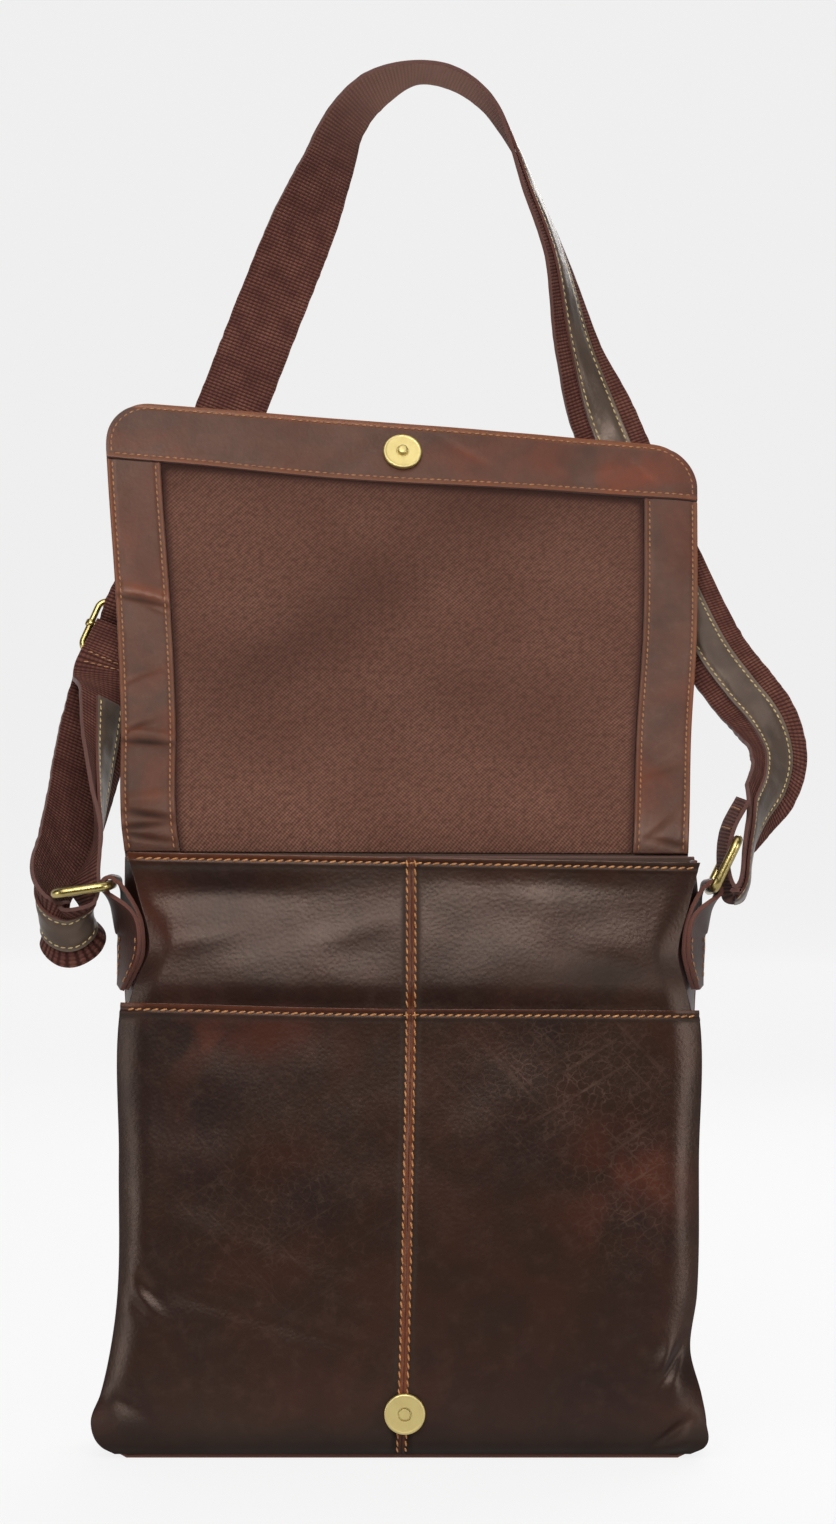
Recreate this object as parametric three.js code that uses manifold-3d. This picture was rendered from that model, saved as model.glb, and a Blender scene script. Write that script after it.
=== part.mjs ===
// Leather crossbody bag standing on its base, with the flap raised and the shoulder strap arched behind it.
// Millimetres, +Z up, +X to the right of the front, +Y towards the back.
// The origin is the middle of the flat base.

import * as THREE from "three";
import { mergeVertices } from "three/addons/utils/BufferGeometryUtils.js";
import Module from "manifold-3d";

const wasm = await Module();
wasm.setup();

// Walls
const LEATHER = 1.8;
const LINING = 0.9;
const FACING = 1.6;
const BAND = 2.1;
const GAP = 0.35;

// Body
const BODY_TOP = 263;
const POCKET_TOP = 196;
const PANEL_FOOT = 0.6;
const POCKET_FOOT = 1.7;
const PANEL_INSET = 1.6;
const POCKET_SLACK = 2;
const TOP_EDGE_TILT = 2.4;
const CORNER_BULGE = 2.5;
const CORNER_BULGE_UP = 18;
const CORNER_BULGE_SPREAD = 22;
const FOOT_CROWDING = 1.35;
const SEAM_CROWDING = 1.8;
const CURL_SHARE = 0.11;
const SEAM_EASE = 0.5;
const GUSSET_TOP = 261.5;
const GUSSET_INSET = 0.6;
const GUSSET_EASE = 0.5;
const GUSSET_SIDE_STEPS = 24;
const GUSSET_BASE_STEPS = 4;

// Flap
const FLAP_LENGTH = 246;
const FLAP_CORNER = 22;
const FLAP_SWELL = 1.6;
const SWELL_ACROSS = 2.2;
const SWELL_ALONG = 5;
const SWELL_FADE = 1.08;
const FACING_WIDTH = 24.5;
const BAND_FOOT = 0.885;
const BEND_END = 0.12;
const BAND_CLEARANCE = 0.003;
const BEND_STEPS = 5;
const FACING_STEP = 3;
const BAND_STEP = 16;
const END_STEP = 22;
const END_TURN = 0.49 * Math.PI;

// Hardware
const RING_WIRE = 4.2;
const RING_INSIDE = 34;
const RING_REACH = 24;
const RING_CORNER = 4.5;
const RING_DEPTH = -7;
const SLIDER_WIRE = 3;
const SLIDER_INSIDE = 34;
const SLIDER_REACH = 26;
const SLIDER_COLLAR = 3;
const COLLAR_WALL = 0.9;
const WIRE_STEPS = 36;
const WIRE_SIDES = 6;
const SNAP_DIAMETER = 18;
const SNAP_HEIGHT = 2.4;
const SNAP_SIDES = 20;
const STUD_ALONG = 0.938;
const SOCKET_U = 0.505;
const SOCKET_UP = 19.5;

// Strap and tabs
const STRAP_WIDTH = 32;
const WEBBING = 1.8;
const STRIP_WIDTH = 15;
const STRIP = 1.4;
const TAB_WIDTH = 24;
const TAB_EASE = 1.1;
const TAB_MIDDLE = 0.46;
const TAB_SPAN = 0.2;
const TAB_WRAP_DEGREES = [20, 70, 120, 170, 220];
const STRIP_STEPS = 2;
const UPPER_STRIP_START = 4;

/** Table rows as objects, with a name for each column. */
const rows = (names, values) =>
  values.map((row) => Object.fromEntries(names.split(" ").map((name, column) => [name, row[column]])));

// Levels of the body: height, edges of the front and back, how far forward or back each stands and bellies,
// and how far the panels curl towards the gusset at their side seams
const BODY_LEVELS = rows("up left right backLeft backRight front back belly slump curl", [
  [0, -127, 119, -126, 118, -37, 37, 0.4, 0.4, 0],
  [5, -135, 128, -134, 127, -39.2, 39.2, 1, 1, 1.5],
  [15, -139.3, 128.3, -138, 128, -40, 40, 2, 2, 4],
  [27, -135, 126, -135, 126, -39.8, 39.6, 3, 3, 6],
  [47, -130.5, 121, -131, 123, -39, 38, 4, 4, 6],
  [72, -127.4, 124, -128, 125, -37.8, 35.5, 5, 5, 6],
  [130, -127, 125, -127, 126, -34.5, 29, 5, 6, 6],
  [196, -126.5, 125.3, -128, 127, -29.5, 17.5, 4, 4, 4],
  [206, -123.5, 122.6, -128.5, 127.5, -28.4, 15.4, 4, 4, 3],
  [222, -117, 119.3, -129, 128, -26.6, 12, 3, 3, 3],
  [245, -122, 124.5, -128, 128, -24.2, 7, 2.4, 1.5, 2.5],
  [263, -127, 129, -127.5, 126, -22.6, 3, 2, 0.6, 1.5],
]);

// Rows of the raised flap, from its lap on the back panel to its free end
const FLAP_ROWS = rows("along leftX rightX leftY rightY leftZ rightZ", [
  [0, -126, 122.5, 8.6, 8.6, 247, 247],
  [0.065, -127.5, 123.3, 4.4, 4.4, 263.5, 262.5],
  [0.13, -129.4, 124, 6.5, 7, 279, 277],
  [0.33, -130.8, 126.2, 30, 35, 323, 317],
  [0.57, -134.6, 130.4, 61, 69, 376, 363],
  [0.84, -140, 132.4, 91, 104, 435, 416],
  [1, -143, 133, 108, 125, 472, 450.5],
]);

// Stations of the strap: middle of its width, and the way that its outer face looks
const RIGHT_END = rows("x y z nx ny nz", [
  [147.4, -6, 288.5, -0.9, -0.1, 0.4],
  [140.6, -6, 275.5, -0.9, -0.1, 0.35],
  [138.4, -6, 262, -1, -0.08, 0],
  [140.2, -6, 251, -0.9, -0.1, -0.4],
  [143.6, -6, 245.4, 0, -0.2, -0.98],
  [147, -6, 251, 0.9, -0.15, -0.4],
  [148.3, -5, 262, 0.99, -0.12, -0.1],
  [150.2, -3, 272, 0.98, -0.18, -0.15],
  [153.8, 7, 283, 0.74, -0.64, -0.2],
]);
const RIGHT_RUN = rows("x y z nx ny nz", [
  [161.4, 22, 295, 0.58, -0.8, 0],
  [164.4, 33, 306, 0.45, -0.88, 0.1],
  [163, 43, 316.5, 0.3, -0.92, 0.2],
  [159, 51, 326, 0.15, -0.95, 0.3],
  [149.5, 62, 339, 0, -0.93, 0.35],
  [137.5, 74, 356.5, 0, -0.9, 0.42],
  [115.5, 110, 406, 0, -0.9, 0.42],
  [94, 135, 456, 0.05, -0.97, 0.2],
]);
const ARCH = rows("x y z nx ny nz", [
  [79, 136, 496, 0.68, -0.69, 0.24],
  [67, 134, 544, 0.87, -0.3, 0.38],
  [55, 132, 574, 0.86, -0.2, 0.45],
  [43.5, 130, 600, 0.8, 0, 0.6],
  [35, 129, 614, 0.6, 0.12, 0.79],
  [19.5, 128, 625, 0.3, 0.18, 0.93],
  [2, 127, 627.5, 0, 0.2, 0.98],
  [-19, 126, 618, -0.6, 0.45, 0.65],
  [-31, 126, 604, -0.68, 0.55, 0.5],
  [-39, 125, 584, -0.6, 0.7, 0.38],
  [-52.5, 124, 551, -0.28, 0.95, 0.12],
  [-67.5, 124, 513.5, 0, 1, 0],
  [-83.5, 122, 472, 0, 1, 0],
  [-98, 110, 436, 0, 0.94, -0.34],
  [-114, 90, 398, 0, 0.92, -0.38],
]);
const LOWER_LOOP = rows("x y z nx ny nz", [
  [-141, 62, 333, -0.2, 0.97, 0],
  [-147, 55, 311, -0.45, 0.88, 0],
  [-151, 43, 289, -0.52, 0.85, 0],
  [-156.4, 26, 266, -0.7, 0.7, -0.1],
  [-162, 8, 249, -0.9, 0.3, -0.3],
  [-162.5, -4, 237, -0.82, -0.35, -0.45],
  [-158, -7.5, 231, -0.5, -0.76, -0.42],
  [-151.5, -9, 228.8, 0, -0.92, -0.4],
  [-145.8, -8.5, 232.5, 0.5, -0.76, -0.4],
  [-143.6, -7, 241, 0.88, 0.15, -0.4],
  [-144.6, -6, 252, 0.9, 0.42, 0],
  [-141, 1, 268, 0.96, 0.25, 0],
  [-140.5, 12, 283, 1, -0.1, 0],
  [-139.5, 28, 306, 0.85, -0.5, 0],
  [-137.5, 43, 331, 0.55, -0.82, 0],
]);

// Levels of a tab from its round foot to its neck below the ring
const TAB_LEVELS = rows("up width", [
  [205, 13],
  [213, 21],
  [222, 24],
  [233, 24],
  [234, 24],
]);

// The slider's place, the way up the strap through it, and the side that faces away from the bag's front
const SLIDER_PLACE = new THREE.Vector3(-130, 74, 362);
const SLIDER_UP = new THREE.Vector3(0.374, 0.3, 0.88).normalize();
const SLIDER_BACK = new THREE.Vector3(0, 0.94, -0.32);

// Profile of a snap half: its rim from the foot inwards, then the nub or the hole in the middle
const SNAP_RIM = rows("inset height", [
  [0.3, 0],
  [0, 0.5],
  [0.5, SNAP_HEIGHT * 0.75],
  [1.6, SNAP_HEIGHT],
  [3.4, SNAP_HEIGHT * 0.9],
]);
const NUB = rows("radius height", [
  [2.4, SNAP_HEIGHT * 0.9],
  [2.2, SNAP_HEIGHT + 1.5],
  [1.4, SNAP_HEIGHT + 2],
  [0, SNAP_HEIGHT + 2],
]);
const HOLE = rows("radius height", [
  [3.2, SNAP_HEIGHT * 0.9],
  [3, SNAP_HEIGHT * 0.4],
  [0, SNAP_HEIGHT * 0.4],
]);

// Colours and gloss
const FINISHES = {
  darkLeather: { color: 0x3a2821, roughness: 0.45, metalness: 0 },
  flapLeather: { color: 0x5e4339, roughness: 0.5, metalness: 0 },
  twill: { color: 0x6a483d, roughness: 0.9, metalness: 0 },
  webbing: { color: 0x5b352c, roughness: 0.9, metalness: 0 },
  strapLeather: { color: 0x5a4e44, roughness: 0.55, metalness: 0 },
  brass: { color: 0xb8a45a, roughness: 0.35, metalness: 1 },
  paleBrass: { color: 0xd6c57e, roughness: 0.3, metalness: 1 },
};

const lerp = THREE.MathUtils.lerp;

/** A power that keeps the sign of its base. */
const signedPower = (base, power) => Math.sign(base) * Math.abs(base) ** power;

/** Share of a panel's height at step share v, with the steps closer together near the foot. */
const climb = (v) => signedPower(v, FOOT_CROWDING);

/** Smooth curve through the rows of a table: key is the column it runs along. */
function table(list, key) {
  const names = Object.keys(list[0]).filter((name) => name !== key);
  const values = list.flatMap((row) => names.map((name) => row[name]));
  const curve = new THREE.CubicInterpolant(list.map((row) => row[key]), values, names.length);
  return (at) => {
    const found = curve.evaluate(at);
    return Object.fromEntries(names.map((name, index) => [name, found[index]]));
  };
}

const bodyLevel = table(BODY_LEVELS, "up");
const flapRow = table(FLAP_ROWS, "along");

/** Closed geometry with its shared vertices merged. */
function welded(geometry) {
  geometry.deleteAttribute("normal");
  geometry.deleteAttribute("uv");
  const merged = mergeVertices(geometry, 1e-4);
  merged.computeVertexNormals();
  return merged;
}

/** The way that a surface faces at (u, v). */
function facing(surface, u, v) {
  const step = 1e-3;
  const across = surface(u + step, v).sub(surface(u - step, v));
  const along = surface(u, v + step).sub(surface(u, v - step));
  return across.cross(along).normalize();
}

/** A wall that follows surface(u, v), from its lift above that surface to lift + thickness. */
function sheet(surface, acrossSteps, alongSteps, lift, thickness) {
  const geometry = new THREE.BoxGeometry(1, 1, 1, acrossSteps, alongSteps, 1);
  const position = geometry.attributes.position;
  for (let i = 0; i < position.count; i += 1) {
    const u = position.getX(i) + 0.5;
    const v = position.getY(i) + 0.5;
    const height = lift + (position.getZ(i) + 0.5) * thickness;
    const point = surface(u, v).addScaledVector(facing(surface, u, v), height);
    position.setXYZ(i, point.x, point.y, point.z);
  }
  return welded(geometry);
}

/** The middle line of a flat strip through stations {at, face, width}; t runs from 0 to 1 along it. */
function stripLine(stations) {
  const path = new THREE.CatmullRomCurve3(stations.map((station) => station.at), false, "centripetal");
  const faces = new THREE.CatmullRomCurve3(stations.map((station) => station.face), false, "centripetal");
  const acrosses = stations.map((station) => new THREE.Vector3(station.width, 0, 0));
  const widths = new THREE.CatmullRomCurve3(acrosses);
  return { path, faces, widths, spans: stations.length - 1 };
}

/** Turns the corner-to-corner edge of each square on a box's lower face to match the upper face. */
function matchDiagonals(geometry) {
  const lowerFace = geometry.groups[3];
  const index = geometry.index;
  for (let at = lowerFace.start; at < lowerFace.start + lowerFace.count; at += 6) {
    const [a, b, c, d] = [index.getX(at), index.getX(at + 1), index.getX(at + 4), index.getX(at + 2)];
    [a, b, c, a, c, d].forEach((corner, offset) => index.setX(at + offset, corner));
  }
}

/** A flat strip between two stations of a line; its middle layer stands lift above the line. */
function band(line, first, last, lift, thickness, edges) {
  const steps = (last - first) * STRIP_STEPS;
  const columns = edges.length - 1;
  const geometry = new THREE.BoxGeometry(1, 1, 1, columns, 1, steps);
  matchDiagonals(geometry);
  const position = geometry.attributes.position;
  for (let i = 0; i < position.count; i += 1) {
    const t = lerp(first, last, position.getZ(i) + 0.5) / line.spans;
    const tangent = line.path.getTangent(t);
    const face = line.faces.getPoint(t);
    face.addScaledVector(tangent, -face.dot(tangent)).normalize();
    const across = face.clone().cross(tangent);
    const edge = edges[Math.round((position.getX(i) + 0.5) * columns)];
    const point = line.path.getPoint(t);
    point.addScaledVector(across, edge * line.widths.getPoint(t).x);
    point.addScaledVector(face, lift + position.getY(i) * thickness);
    position.setXYZ(i, point.x, point.y, point.z);
  }
  return welded(geometry);
}

/** A closed loop of round wire in the XY plane, a rectangle with round corners. */
function wireLoop(width, height, corner, wire, steps, sides) {
  const right = width / 2;
  const top = height / 2;
  const loop = new THREE.CurvePath();
  const corners = [
    [right, top, right, top - corner, right - corner, top],
    [-right, top, -right + corner, top, -right, top - corner],
    [-right, -top, -right, -top + corner, -right + corner, -top],
    [right, -top, right - corner, -top, right, -top + corner],
  ].map((row) => [0, 2, 4].map((column) => new THREE.Vector3(row[column], row[column + 1], 0)));
  corners.forEach(([tip, start, end], index) => {
    const next = corners[(index + 1) % corners.length][1];
    loop.add(new THREE.QuadraticBezierCurve3(start, tip, end));
    loop.add(new THREE.LineCurve3(end, next));
  });
  return welded(new THREE.TubeGeometry(loop, steps, wire / 2, sides, true));
}

/** A solid for joining, from a closed geometry. */
function solid(geometry) {
  const vertProperties = new Float32Array(geometry.attributes.position.array);
  const triVerts = new Uint32Array(geometry.index.array);
  return new wasm.Manifold(new wasm.Mesh({ numProp: 3, vertProperties, triVerts }));
}

/** The geometry of a joined solid. */
function geometryOf(joined) {
  const mesh = joined.getMesh();
  const geometry = new THREE.BufferGeometry();
  geometry.setAttribute("position", new THREE.BufferAttribute(mesh.vertProperties.slice(), 3));
  geometry.setIndex(new THREE.BufferAttribute(mesh.triVerts.slice(), 1));
  geometry.computeVertexNormals();
  return geometry;
}

/** A named piece with its own finish. */
function piece(name, geometry, finish) {
  const mesh = new THREE.Mesh(geometry, new THREE.MeshStandardMaterial(FINISHES[finish]));
  mesh.name = name;
  return mesh;
}

// Body surfaces

/** Spreads even steps q over a panel's width from -1 to 1, closer together near its side seams. */
const spread = (q) => Math.sign(q) * (1 - signedPower(1 - Math.abs(q), SEAM_CROWDING));

/** How far a panel bends towards the gusset at s, from none inside to its full curl at the side seam. */
const curlAt = (s, curl) => curl * Math.max(0, (Math.abs(s) - 1 + CURL_SHARE) / CURL_SHARE) ** 2;

/** Outer face of the front, s from -1 at its left edge to 1 at its right, spread wider by grow. */
function frontPoint(s, up, grow) {
  const level = bodyLevel(up);
  const x = lerp(level.left - grow, level.right + grow, (s + 1) / 2);
  const y = level.front - level.belly * (1 - s * s) + curlAt(s, level.curl);
  const tilt = TOP_EDGE_TILT * s * (up / BODY_TOP) ** 4;
  return new THREE.Vector3(x, y, up - tilt);
}

const frontFace = (u, v) => frontPoint(spread(2 * u - 1), lerp(PANEL_FOOT, BODY_TOP, climb(v)), -PANEL_INSET);

/** Outer face of the pocket: it lies on the front and hangs slack in the middle of its open edge. */
function pocketFace(u, v) {
  const under = (a, b) => frontPoint(spread(2 * a - 1), lerp(POCKET_FOOT, POCKET_TOP, climb(b)), 0);
  const s = spread(2 * u - 1);
  const lift = GAP + LEATHER + POCKET_SLACK * v * (1 - s * s);
  return under(u, v).addScaledVector(facing(under, u, v), lift);
}

function backFace(u, v) {
  const s = spread(2 * u - 1);
  const up = lerp(PANEL_FOOT, BODY_TOP, climb(v));
  const level = bodyLevel(up);
  const y = level.back + level.slump * (1 - s * s) - curlAt(s, level.curl);
  return new THREE.Vector3(lerp(level.backRight, level.backLeft, (s + 1) / 2), y, up);
}

/** Outer face of the gusset at one height: s from 0 at the front panel to 1 at the back panel. */
function gussetPoint(side, up, s) {
  const level = bodyLevel(up);
  const frontEdge = (side < 0 ? level.left : level.right) - side * (PANEL_INSET + GUSSET_INSET);
  const backEdge = (side < 0 ? level.backLeft : level.backRight) - side * GUSSET_INSET;
  const nearCorner = Math.exp(-(((up - CORNER_BULGE_UP) / CORNER_BULGE_SPREAD) ** 2));
  const swell = side * CORNER_BULGE * 4 * s * (1 - s) * nearCorner;
  const seam = LEATHER + GAP + SEAM_EASE + level.curl;
  const y = lerp(level.front + seam, level.back - seam, s);
  return new THREE.Vector3(lerp(frontEdge, backEdge, s) + swell, y, up);
}

/** Outer face of the gusset: u runs down the left side, along the base and up the right side. */
function gussetFace(u, v) {
  const sideShare = GUSSET_SIDE_STEPS / (2 * GUSSET_SIDE_STEPS + GUSSET_BASE_STEPS);
  if (u > sideShare && u < 1 - sideShare) {
    const start = gussetPoint(-1, 0, v);
    const end = gussetPoint(1, 0, v);
    return start.lerp(end, (u - sideShare) / (1 - 2 * sideShare));
  }
  const side = u < 0.5 ? -1 : 1;
  const left = 1 - Math.min(u, 1 - u) / sideShare;
  const eased = (1 - Math.cos(Math.PI * left)) / 2;
  return gussetPoint(side, GUSSET_TOP * lerp(left, eased, GUSSET_EASE), v);
}

// Flap surfaces

/** Inner face of the flap's leather: s from -1 at its left edge to 1 at its right. */
function flapPoint(s, along) {
  const row = flapRow(along);
  const u = (s + 1) / 2;
  const x = lerp(row.leftX, row.rightX, u);
  const z = lerp(row.leftZ, row.rightZ, u);
  const fade = Math.sin(Math.PI * Math.min(1, SWELL_FADE * along)) ** 2;
  const swell = Math.sin(SWELL_ACROSS * s + SWELL_ALONG * along) * fade;
  return new THREE.Vector3(x, lerp(row.leftY, row.rightY, u) + FLAP_SWELL * swell, z);
}

/** Share of the flap's half-width that is left at a distance along it, where its corners are round. */
function cornerShare(along) {
  const into = Math.max(0, FLAP_CORNER - (1 - along) * FLAP_LENGTH);
  const row = flapRow(along);
  const lost = FLAP_CORNER - Math.sqrt(Math.max(0, FLAP_CORNER ** 2 - into ** 2));
  return 1 - (2 * lost) / (row.rightX - row.leftX);
}

/** How far along the flap each step lies: close at the bend, even up to the band, then round the corners. */
function flapStep(step) {
  if (step < BEND_STEPS) {
    return (BEND_END * step) / BEND_STEPS;
  }
  if (step < BAND_STEP) {
    return lerp(BEND_END, BAND_FOOT, (step - BEND_STEPS) / (BAND_STEP - BEND_STEPS));
  }
  const turn = ((step - BAND_STEP) / (END_STEP - BAND_STEP)) * END_TURN;
  return lerp(BAND_FOOT, 1, Math.sin(turn));
}

/** The flap between two steps, with its round corners. */
const flapBetween = (first, last) => (u, v) => {
  const along = flapStep(lerp(first, last, v));
  return flapPoint((2 * u - 1) * cornerShare(along), along);
};

/** Part of the flap below the band, between two distances from its side edges. */
const flapStrip = (fromLeft, fromRight) => (u, v) => {
  const along = flapStep(lerp(FACING_STEP, BAND_STEP, v)) - BAND_CLEARANCE * Math.max(0, v);
  const row = flapRow(along);
  const width = row.rightX - row.leftX;
  const start = fromLeft >= 0 ? fromLeft : width + fromLeft;
  const end = fromRight >= 0 ? width - fromRight : -fromRight;
  return flapPoint((2 * lerp(start, end, u)) / width - 1, along);
};

// Hardware places

const leftRing = {
  seat: new THREE.Vector3(-133.2, RING_DEPTH, 250.5),
  reach: new THREE.Vector3(-0.989, 0, -0.147),
};
const rightRing = {
  seat: new THREE.Vector3(133.2, RING_DEPTH, 248.5),
  reach: new THREE.Vector3(0.44, 0.06, 0.896),
};

/** A rectangular ring that reaches from the bar in its tab to the bar in the strap. */
function ring(name, place) {
  const width = RING_REACH;
  const height = RING_INSIDE + RING_WIRE;
  const mesh = piece(name, wireLoop(width, height, RING_CORNER, RING_WIRE, WIRE_STEPS, WIRE_SIDES), "brass");
  const reach = place.reach.clone().normalize();
  const bar = new THREE.Vector3(0, 1, 0).addScaledVector(reach, -reach.y).normalize();
  const basis = new THREE.Matrix4().makeBasis(reach, bar, reach.clone().cross(bar));
  mesh.setRotationFromMatrix(basis);
  mesh.position.copy(place.seat).addScaledVector(reach, RING_REACH / 2);
  return mesh;
}

/** A tab: a leather strip folded round the ring's bar, with both layers laid on the gusset. */
function tab(name, side, place) {
  const onGusset = ({ up, width }, lift) => {
    const front = gussetPoint(side, up, TAB_MIDDLE - TAB_SPAN);
    const across = gussetPoint(side, up, TAB_MIDDLE + TAB_SPAN).sub(front).normalize();
    const out = new THREE.Vector3(across.y, -across.x, 0).multiplyScalar(side);
    return { at: gussetPoint(side, up, TAB_MIDDLE).addScaledVector(out, lift), out, width };
  };
  const inner = GAP + TAB_EASE + LEATHER / 2;
  const outer = inner + LEATHER + GAP;
  const wrap = RING_WIRE / 2 + 2 * GAP + LEATHER / 2;
  const stations = TAB_LEVELS.map((level) => {
    const station = onGusset(level, inner);
    return { at: station.at, face: station.out.clone().negate(), width: station.width };
  });
  TAB_WRAP_DEGREES.forEach((degrees) => {
    const turn = THREE.MathUtils.degToRad(degrees);
    const face = new THREE.Vector3(-side * Math.cos(turn), 0, Math.sin(turn));
    stations.push({ at: place.seat.clone().addScaledVector(face, wrap), face, width: TAB_WIDTH });
  });
  TAB_LEVELS.toReversed().forEach((level) => {
    const station = onGusset(level, outer);
    stations.push({ at: station.at, face: station.out, width: station.width });
  });
  const strip = band(stripLine(stations), 0, stations.length - 1, 0, LEATHER, [-0.5, 0.5]);
  return piece(name, strip, "darkLeather");
}

/** Half of the magnetic snap: a pressed disc with a rim and, in the middle, a nub or a hole. */
function snap(name, middle, place, out) {
  const radius = SNAP_DIAMETER / 2;
  const rim = SNAP_RIM.map((row) => new THREE.Vector2(radius - row.inset, row.height));
  const inside = middle.map((row) => new THREE.Vector2(row.radius, row.height));
  const profile = [new THREE.Vector2(0, 0), ...rim, ...inside];
  const mesh = piece(name, welded(new THREE.LatheGeometry(profile, SNAP_SIDES)), "paleBrass");
  mesh.quaternion.setFromUnitVectors(new THREE.Vector3(0, 1, 0), out);
  mesh.position.copy(place).addScaledVector(out, GAP);
  return mesh;
}

const sliderBack = SLIDER_BACK.clone().addScaledVector(SLIDER_UP, -SLIDER_BACK.dot(SLIDER_UP)).normalize();
const sliderAcross = SLIDER_UP.clone().cross(sliderBack);

/** The wire slider: a frame, a middle bar, and the collars that hold the bar on the frame. */
function slider() {
  const width = SLIDER_INSIDE + SLIDER_WIRE;
  let joined = solid(wireLoop(width, SLIDER_REACH, RING_CORNER, SLIDER_WIRE, WIRE_STEPS, WIRE_SIDES));
  const bar = new THREE.CylinderGeometry(SLIDER_WIRE / 2, SLIDER_WIRE / 2, width, 8);
  joined = joined.add(solid(welded(bar.rotateZ(Math.PI / 2))));
  [-1, 1].forEach((side) => {
    const radius = SLIDER_WIRE / 2 + COLLAR_WALL;
    const collar = new THREE.CylinderGeometry(radius, radius, SLIDER_COLLAR, 10);
    joined = joined.add(solid(welded(collar.translate((side * width) / 2, 0, 0))));
  });
  const mesh = piece("slider_buckle", geometryOf(joined), "brass");
  mesh.setRotationFromMatrix(new THREE.Matrix4().makeBasis(sliderAcross, SLIDER_UP, sliderBack));
  mesh.position.copy(SLIDER_PLACE);
  return mesh;
}

// Strap

const onStrap = (row) => ({
  at: new THREE.Vector3(row.x, row.y, row.z),
  face: new THREE.Vector3(row.nx, row.ny, row.nz).normalize(),
  width: STRAP_WIDTH,
});

/** A station at the slider: distance up through it, distance behind it, and the turn of its outer face. */
function atSlider({ up, behind, turn }) {
  const at = SLIDER_PLACE.clone().addScaledVector(SLIDER_UP, up).addScaledVector(sliderBack, behind);
  const angle = THREE.MathUtils.degToRad(turn);
  const face = sliderBack.clone().multiplyScalar(Math.cos(angle)).addScaledVector(SLIDER_UP, Math.sin(angle));
  return { at, face, width: STRAP_WIDTH };
}

const BAR_WRAP = SLIDER_WIRE / 2 + GAP + WEBBING / 2;
const BAR_UP = SLIDER_REACH / 2;
const throughSlider = rows("up behind turn", [
  [BAR_UP + 9, -1.5, 10],
  [BAR_UP, -3.5, 20],
  [0, 6.4, 0],
  [-BAR_UP, -3.5, -20],
  [-BAR_UP - 9, -1, -10],
]).map(atSlider);
const sewnOnSlider = rows("up behind turn", [
  [-BAR_UP - 8, -8.5, 180],
  [-BAR_UP, -6.6, 180],
  [0, -BAR_WRAP, 180],
  [BAR_WRAP * 0.75, -BAR_WRAP * 0.66, 130],
  [BAR_WRAP * 0.75, BAR_WRAP * 0.66, 50],
  [-0.6, BAR_WRAP, 0],
]).map(atSlider);
const upperStations = [...RIGHT_END, ...RIGHT_RUN, ...ARCH].map(onStrap);
const lowerStations = LOWER_LOOP.map(onStrap);

const lowerStart = upperStations.length + throughSlider.length;

const STRIP_SHARE = STRIP_WIDTH / STRAP_WIDTH;
const WEBBING_EDGES = [-0.5, -STRIP_SHARE / 2, STRIP_SHARE / 2, 0.5];
const strapLine = stripLine([...upperStations, ...throughSlider, ...lowerStations, ...sewnOnSlider]);

/** The narrow leather strip on the outer face of the strap, between two of its stations. */
function strapStrip(name, first, last) {
  const lift = WEBBING / 2 + GAP + STRIP / 2;
  const edges = [-STRIP_SHARE / 2, STRIP_SHARE / 2];
  return piece(name, band(strapLine, first, last, lift, STRIP, edges), "strapLeather");
}

// Assembly

const liningArea = flapStrip(FACING_WIDTH + GAP, FACING_WIDTH + GAP);
const leftFacingArea = flapStrip(0, -FACING_WIDTH);
const rightFacingArea = flapStrip(-FACING_WIDTH, 0);
const bandArea = flapBetween(BAND_STEP, END_STEP);
const gussetSteps = 2 * GUSSET_SIDE_STEPS + GUSSET_BASE_STEPS;
const stripSteps = BAND_STEP - FACING_STEP;

const bag = new THREE.Group();
bag.add(
  piece("front_panel", sheet(frontFace, 14, 16, -LEATHER, LEATHER), "darkLeather"),
  piece("front_pocket", sheet(pocketFace, 14, 15, -LEATHER, LEATHER), "darkLeather"),
  piece("back_panel", sheet(backFace, 12, 16, -LEATHER, LEATHER), "darkLeather"),
  piece("gusset", sheet(gussetFace, gussetSteps, 4, 0, LEATHER), "darkLeather"),
  piece("flap_leather", sheet(flapBetween(0, END_STEP), 12, END_STEP, -LEATHER, LEATHER), "darkLeather"),
  piece("flap_lining", sheet(liningArea, 10, stripSteps, GAP, LINING), "twill"),
  piece("flap_facing_left", sheet(leftFacingArea, 2, stripSteps, GAP, FACING), "flapLeather"),
  piece("flap_facing_right", sheet(rightFacingArea, 2, stripSteps, GAP, FACING), "flapLeather"),
  piece("flap_end_band", sheet(bandArea, 12, END_STEP - BAND_STEP, GAP, BAND), "flapLeather"),
);

const studOut = facing(flapPoint, 0, STUD_ALONG);
const studPlace = flapPoint(0, STUD_ALONG).addScaledVector(studOut, GAP + BAND);
const socketV = (SOCKET_UP / POCKET_TOP) ** (1 / FOOT_CROWDING);
const socketOut = facing(pocketFace, SOCKET_U, socketV);
const socketPlace = pocketFace(SOCKET_U, socketV);
bag.add(
  snap("snap_stud", NUB, studPlace, studOut),
  snap("snap_socket", HOLE, socketPlace, socketOut),
  tab("tab_left", -1, leftRing),
  tab("tab_right", 1, rightRing),
  ring("ring_left", leftRing),
  ring("ring_right", rightRing),
  slider(),
  piece("strap_webbing", band(strapLine, 0, strapLine.spans, 0, WEBBING, WEBBING_EDGES), "webbing"),
  strapStrip("strap_leather_upper", UPPER_STRIP_START, upperStations.length - 1),
  strapStrip("strap_leather_lower", lowerStart, lowerStart + lowerStations.length - 1),
);

export default bag;
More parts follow.
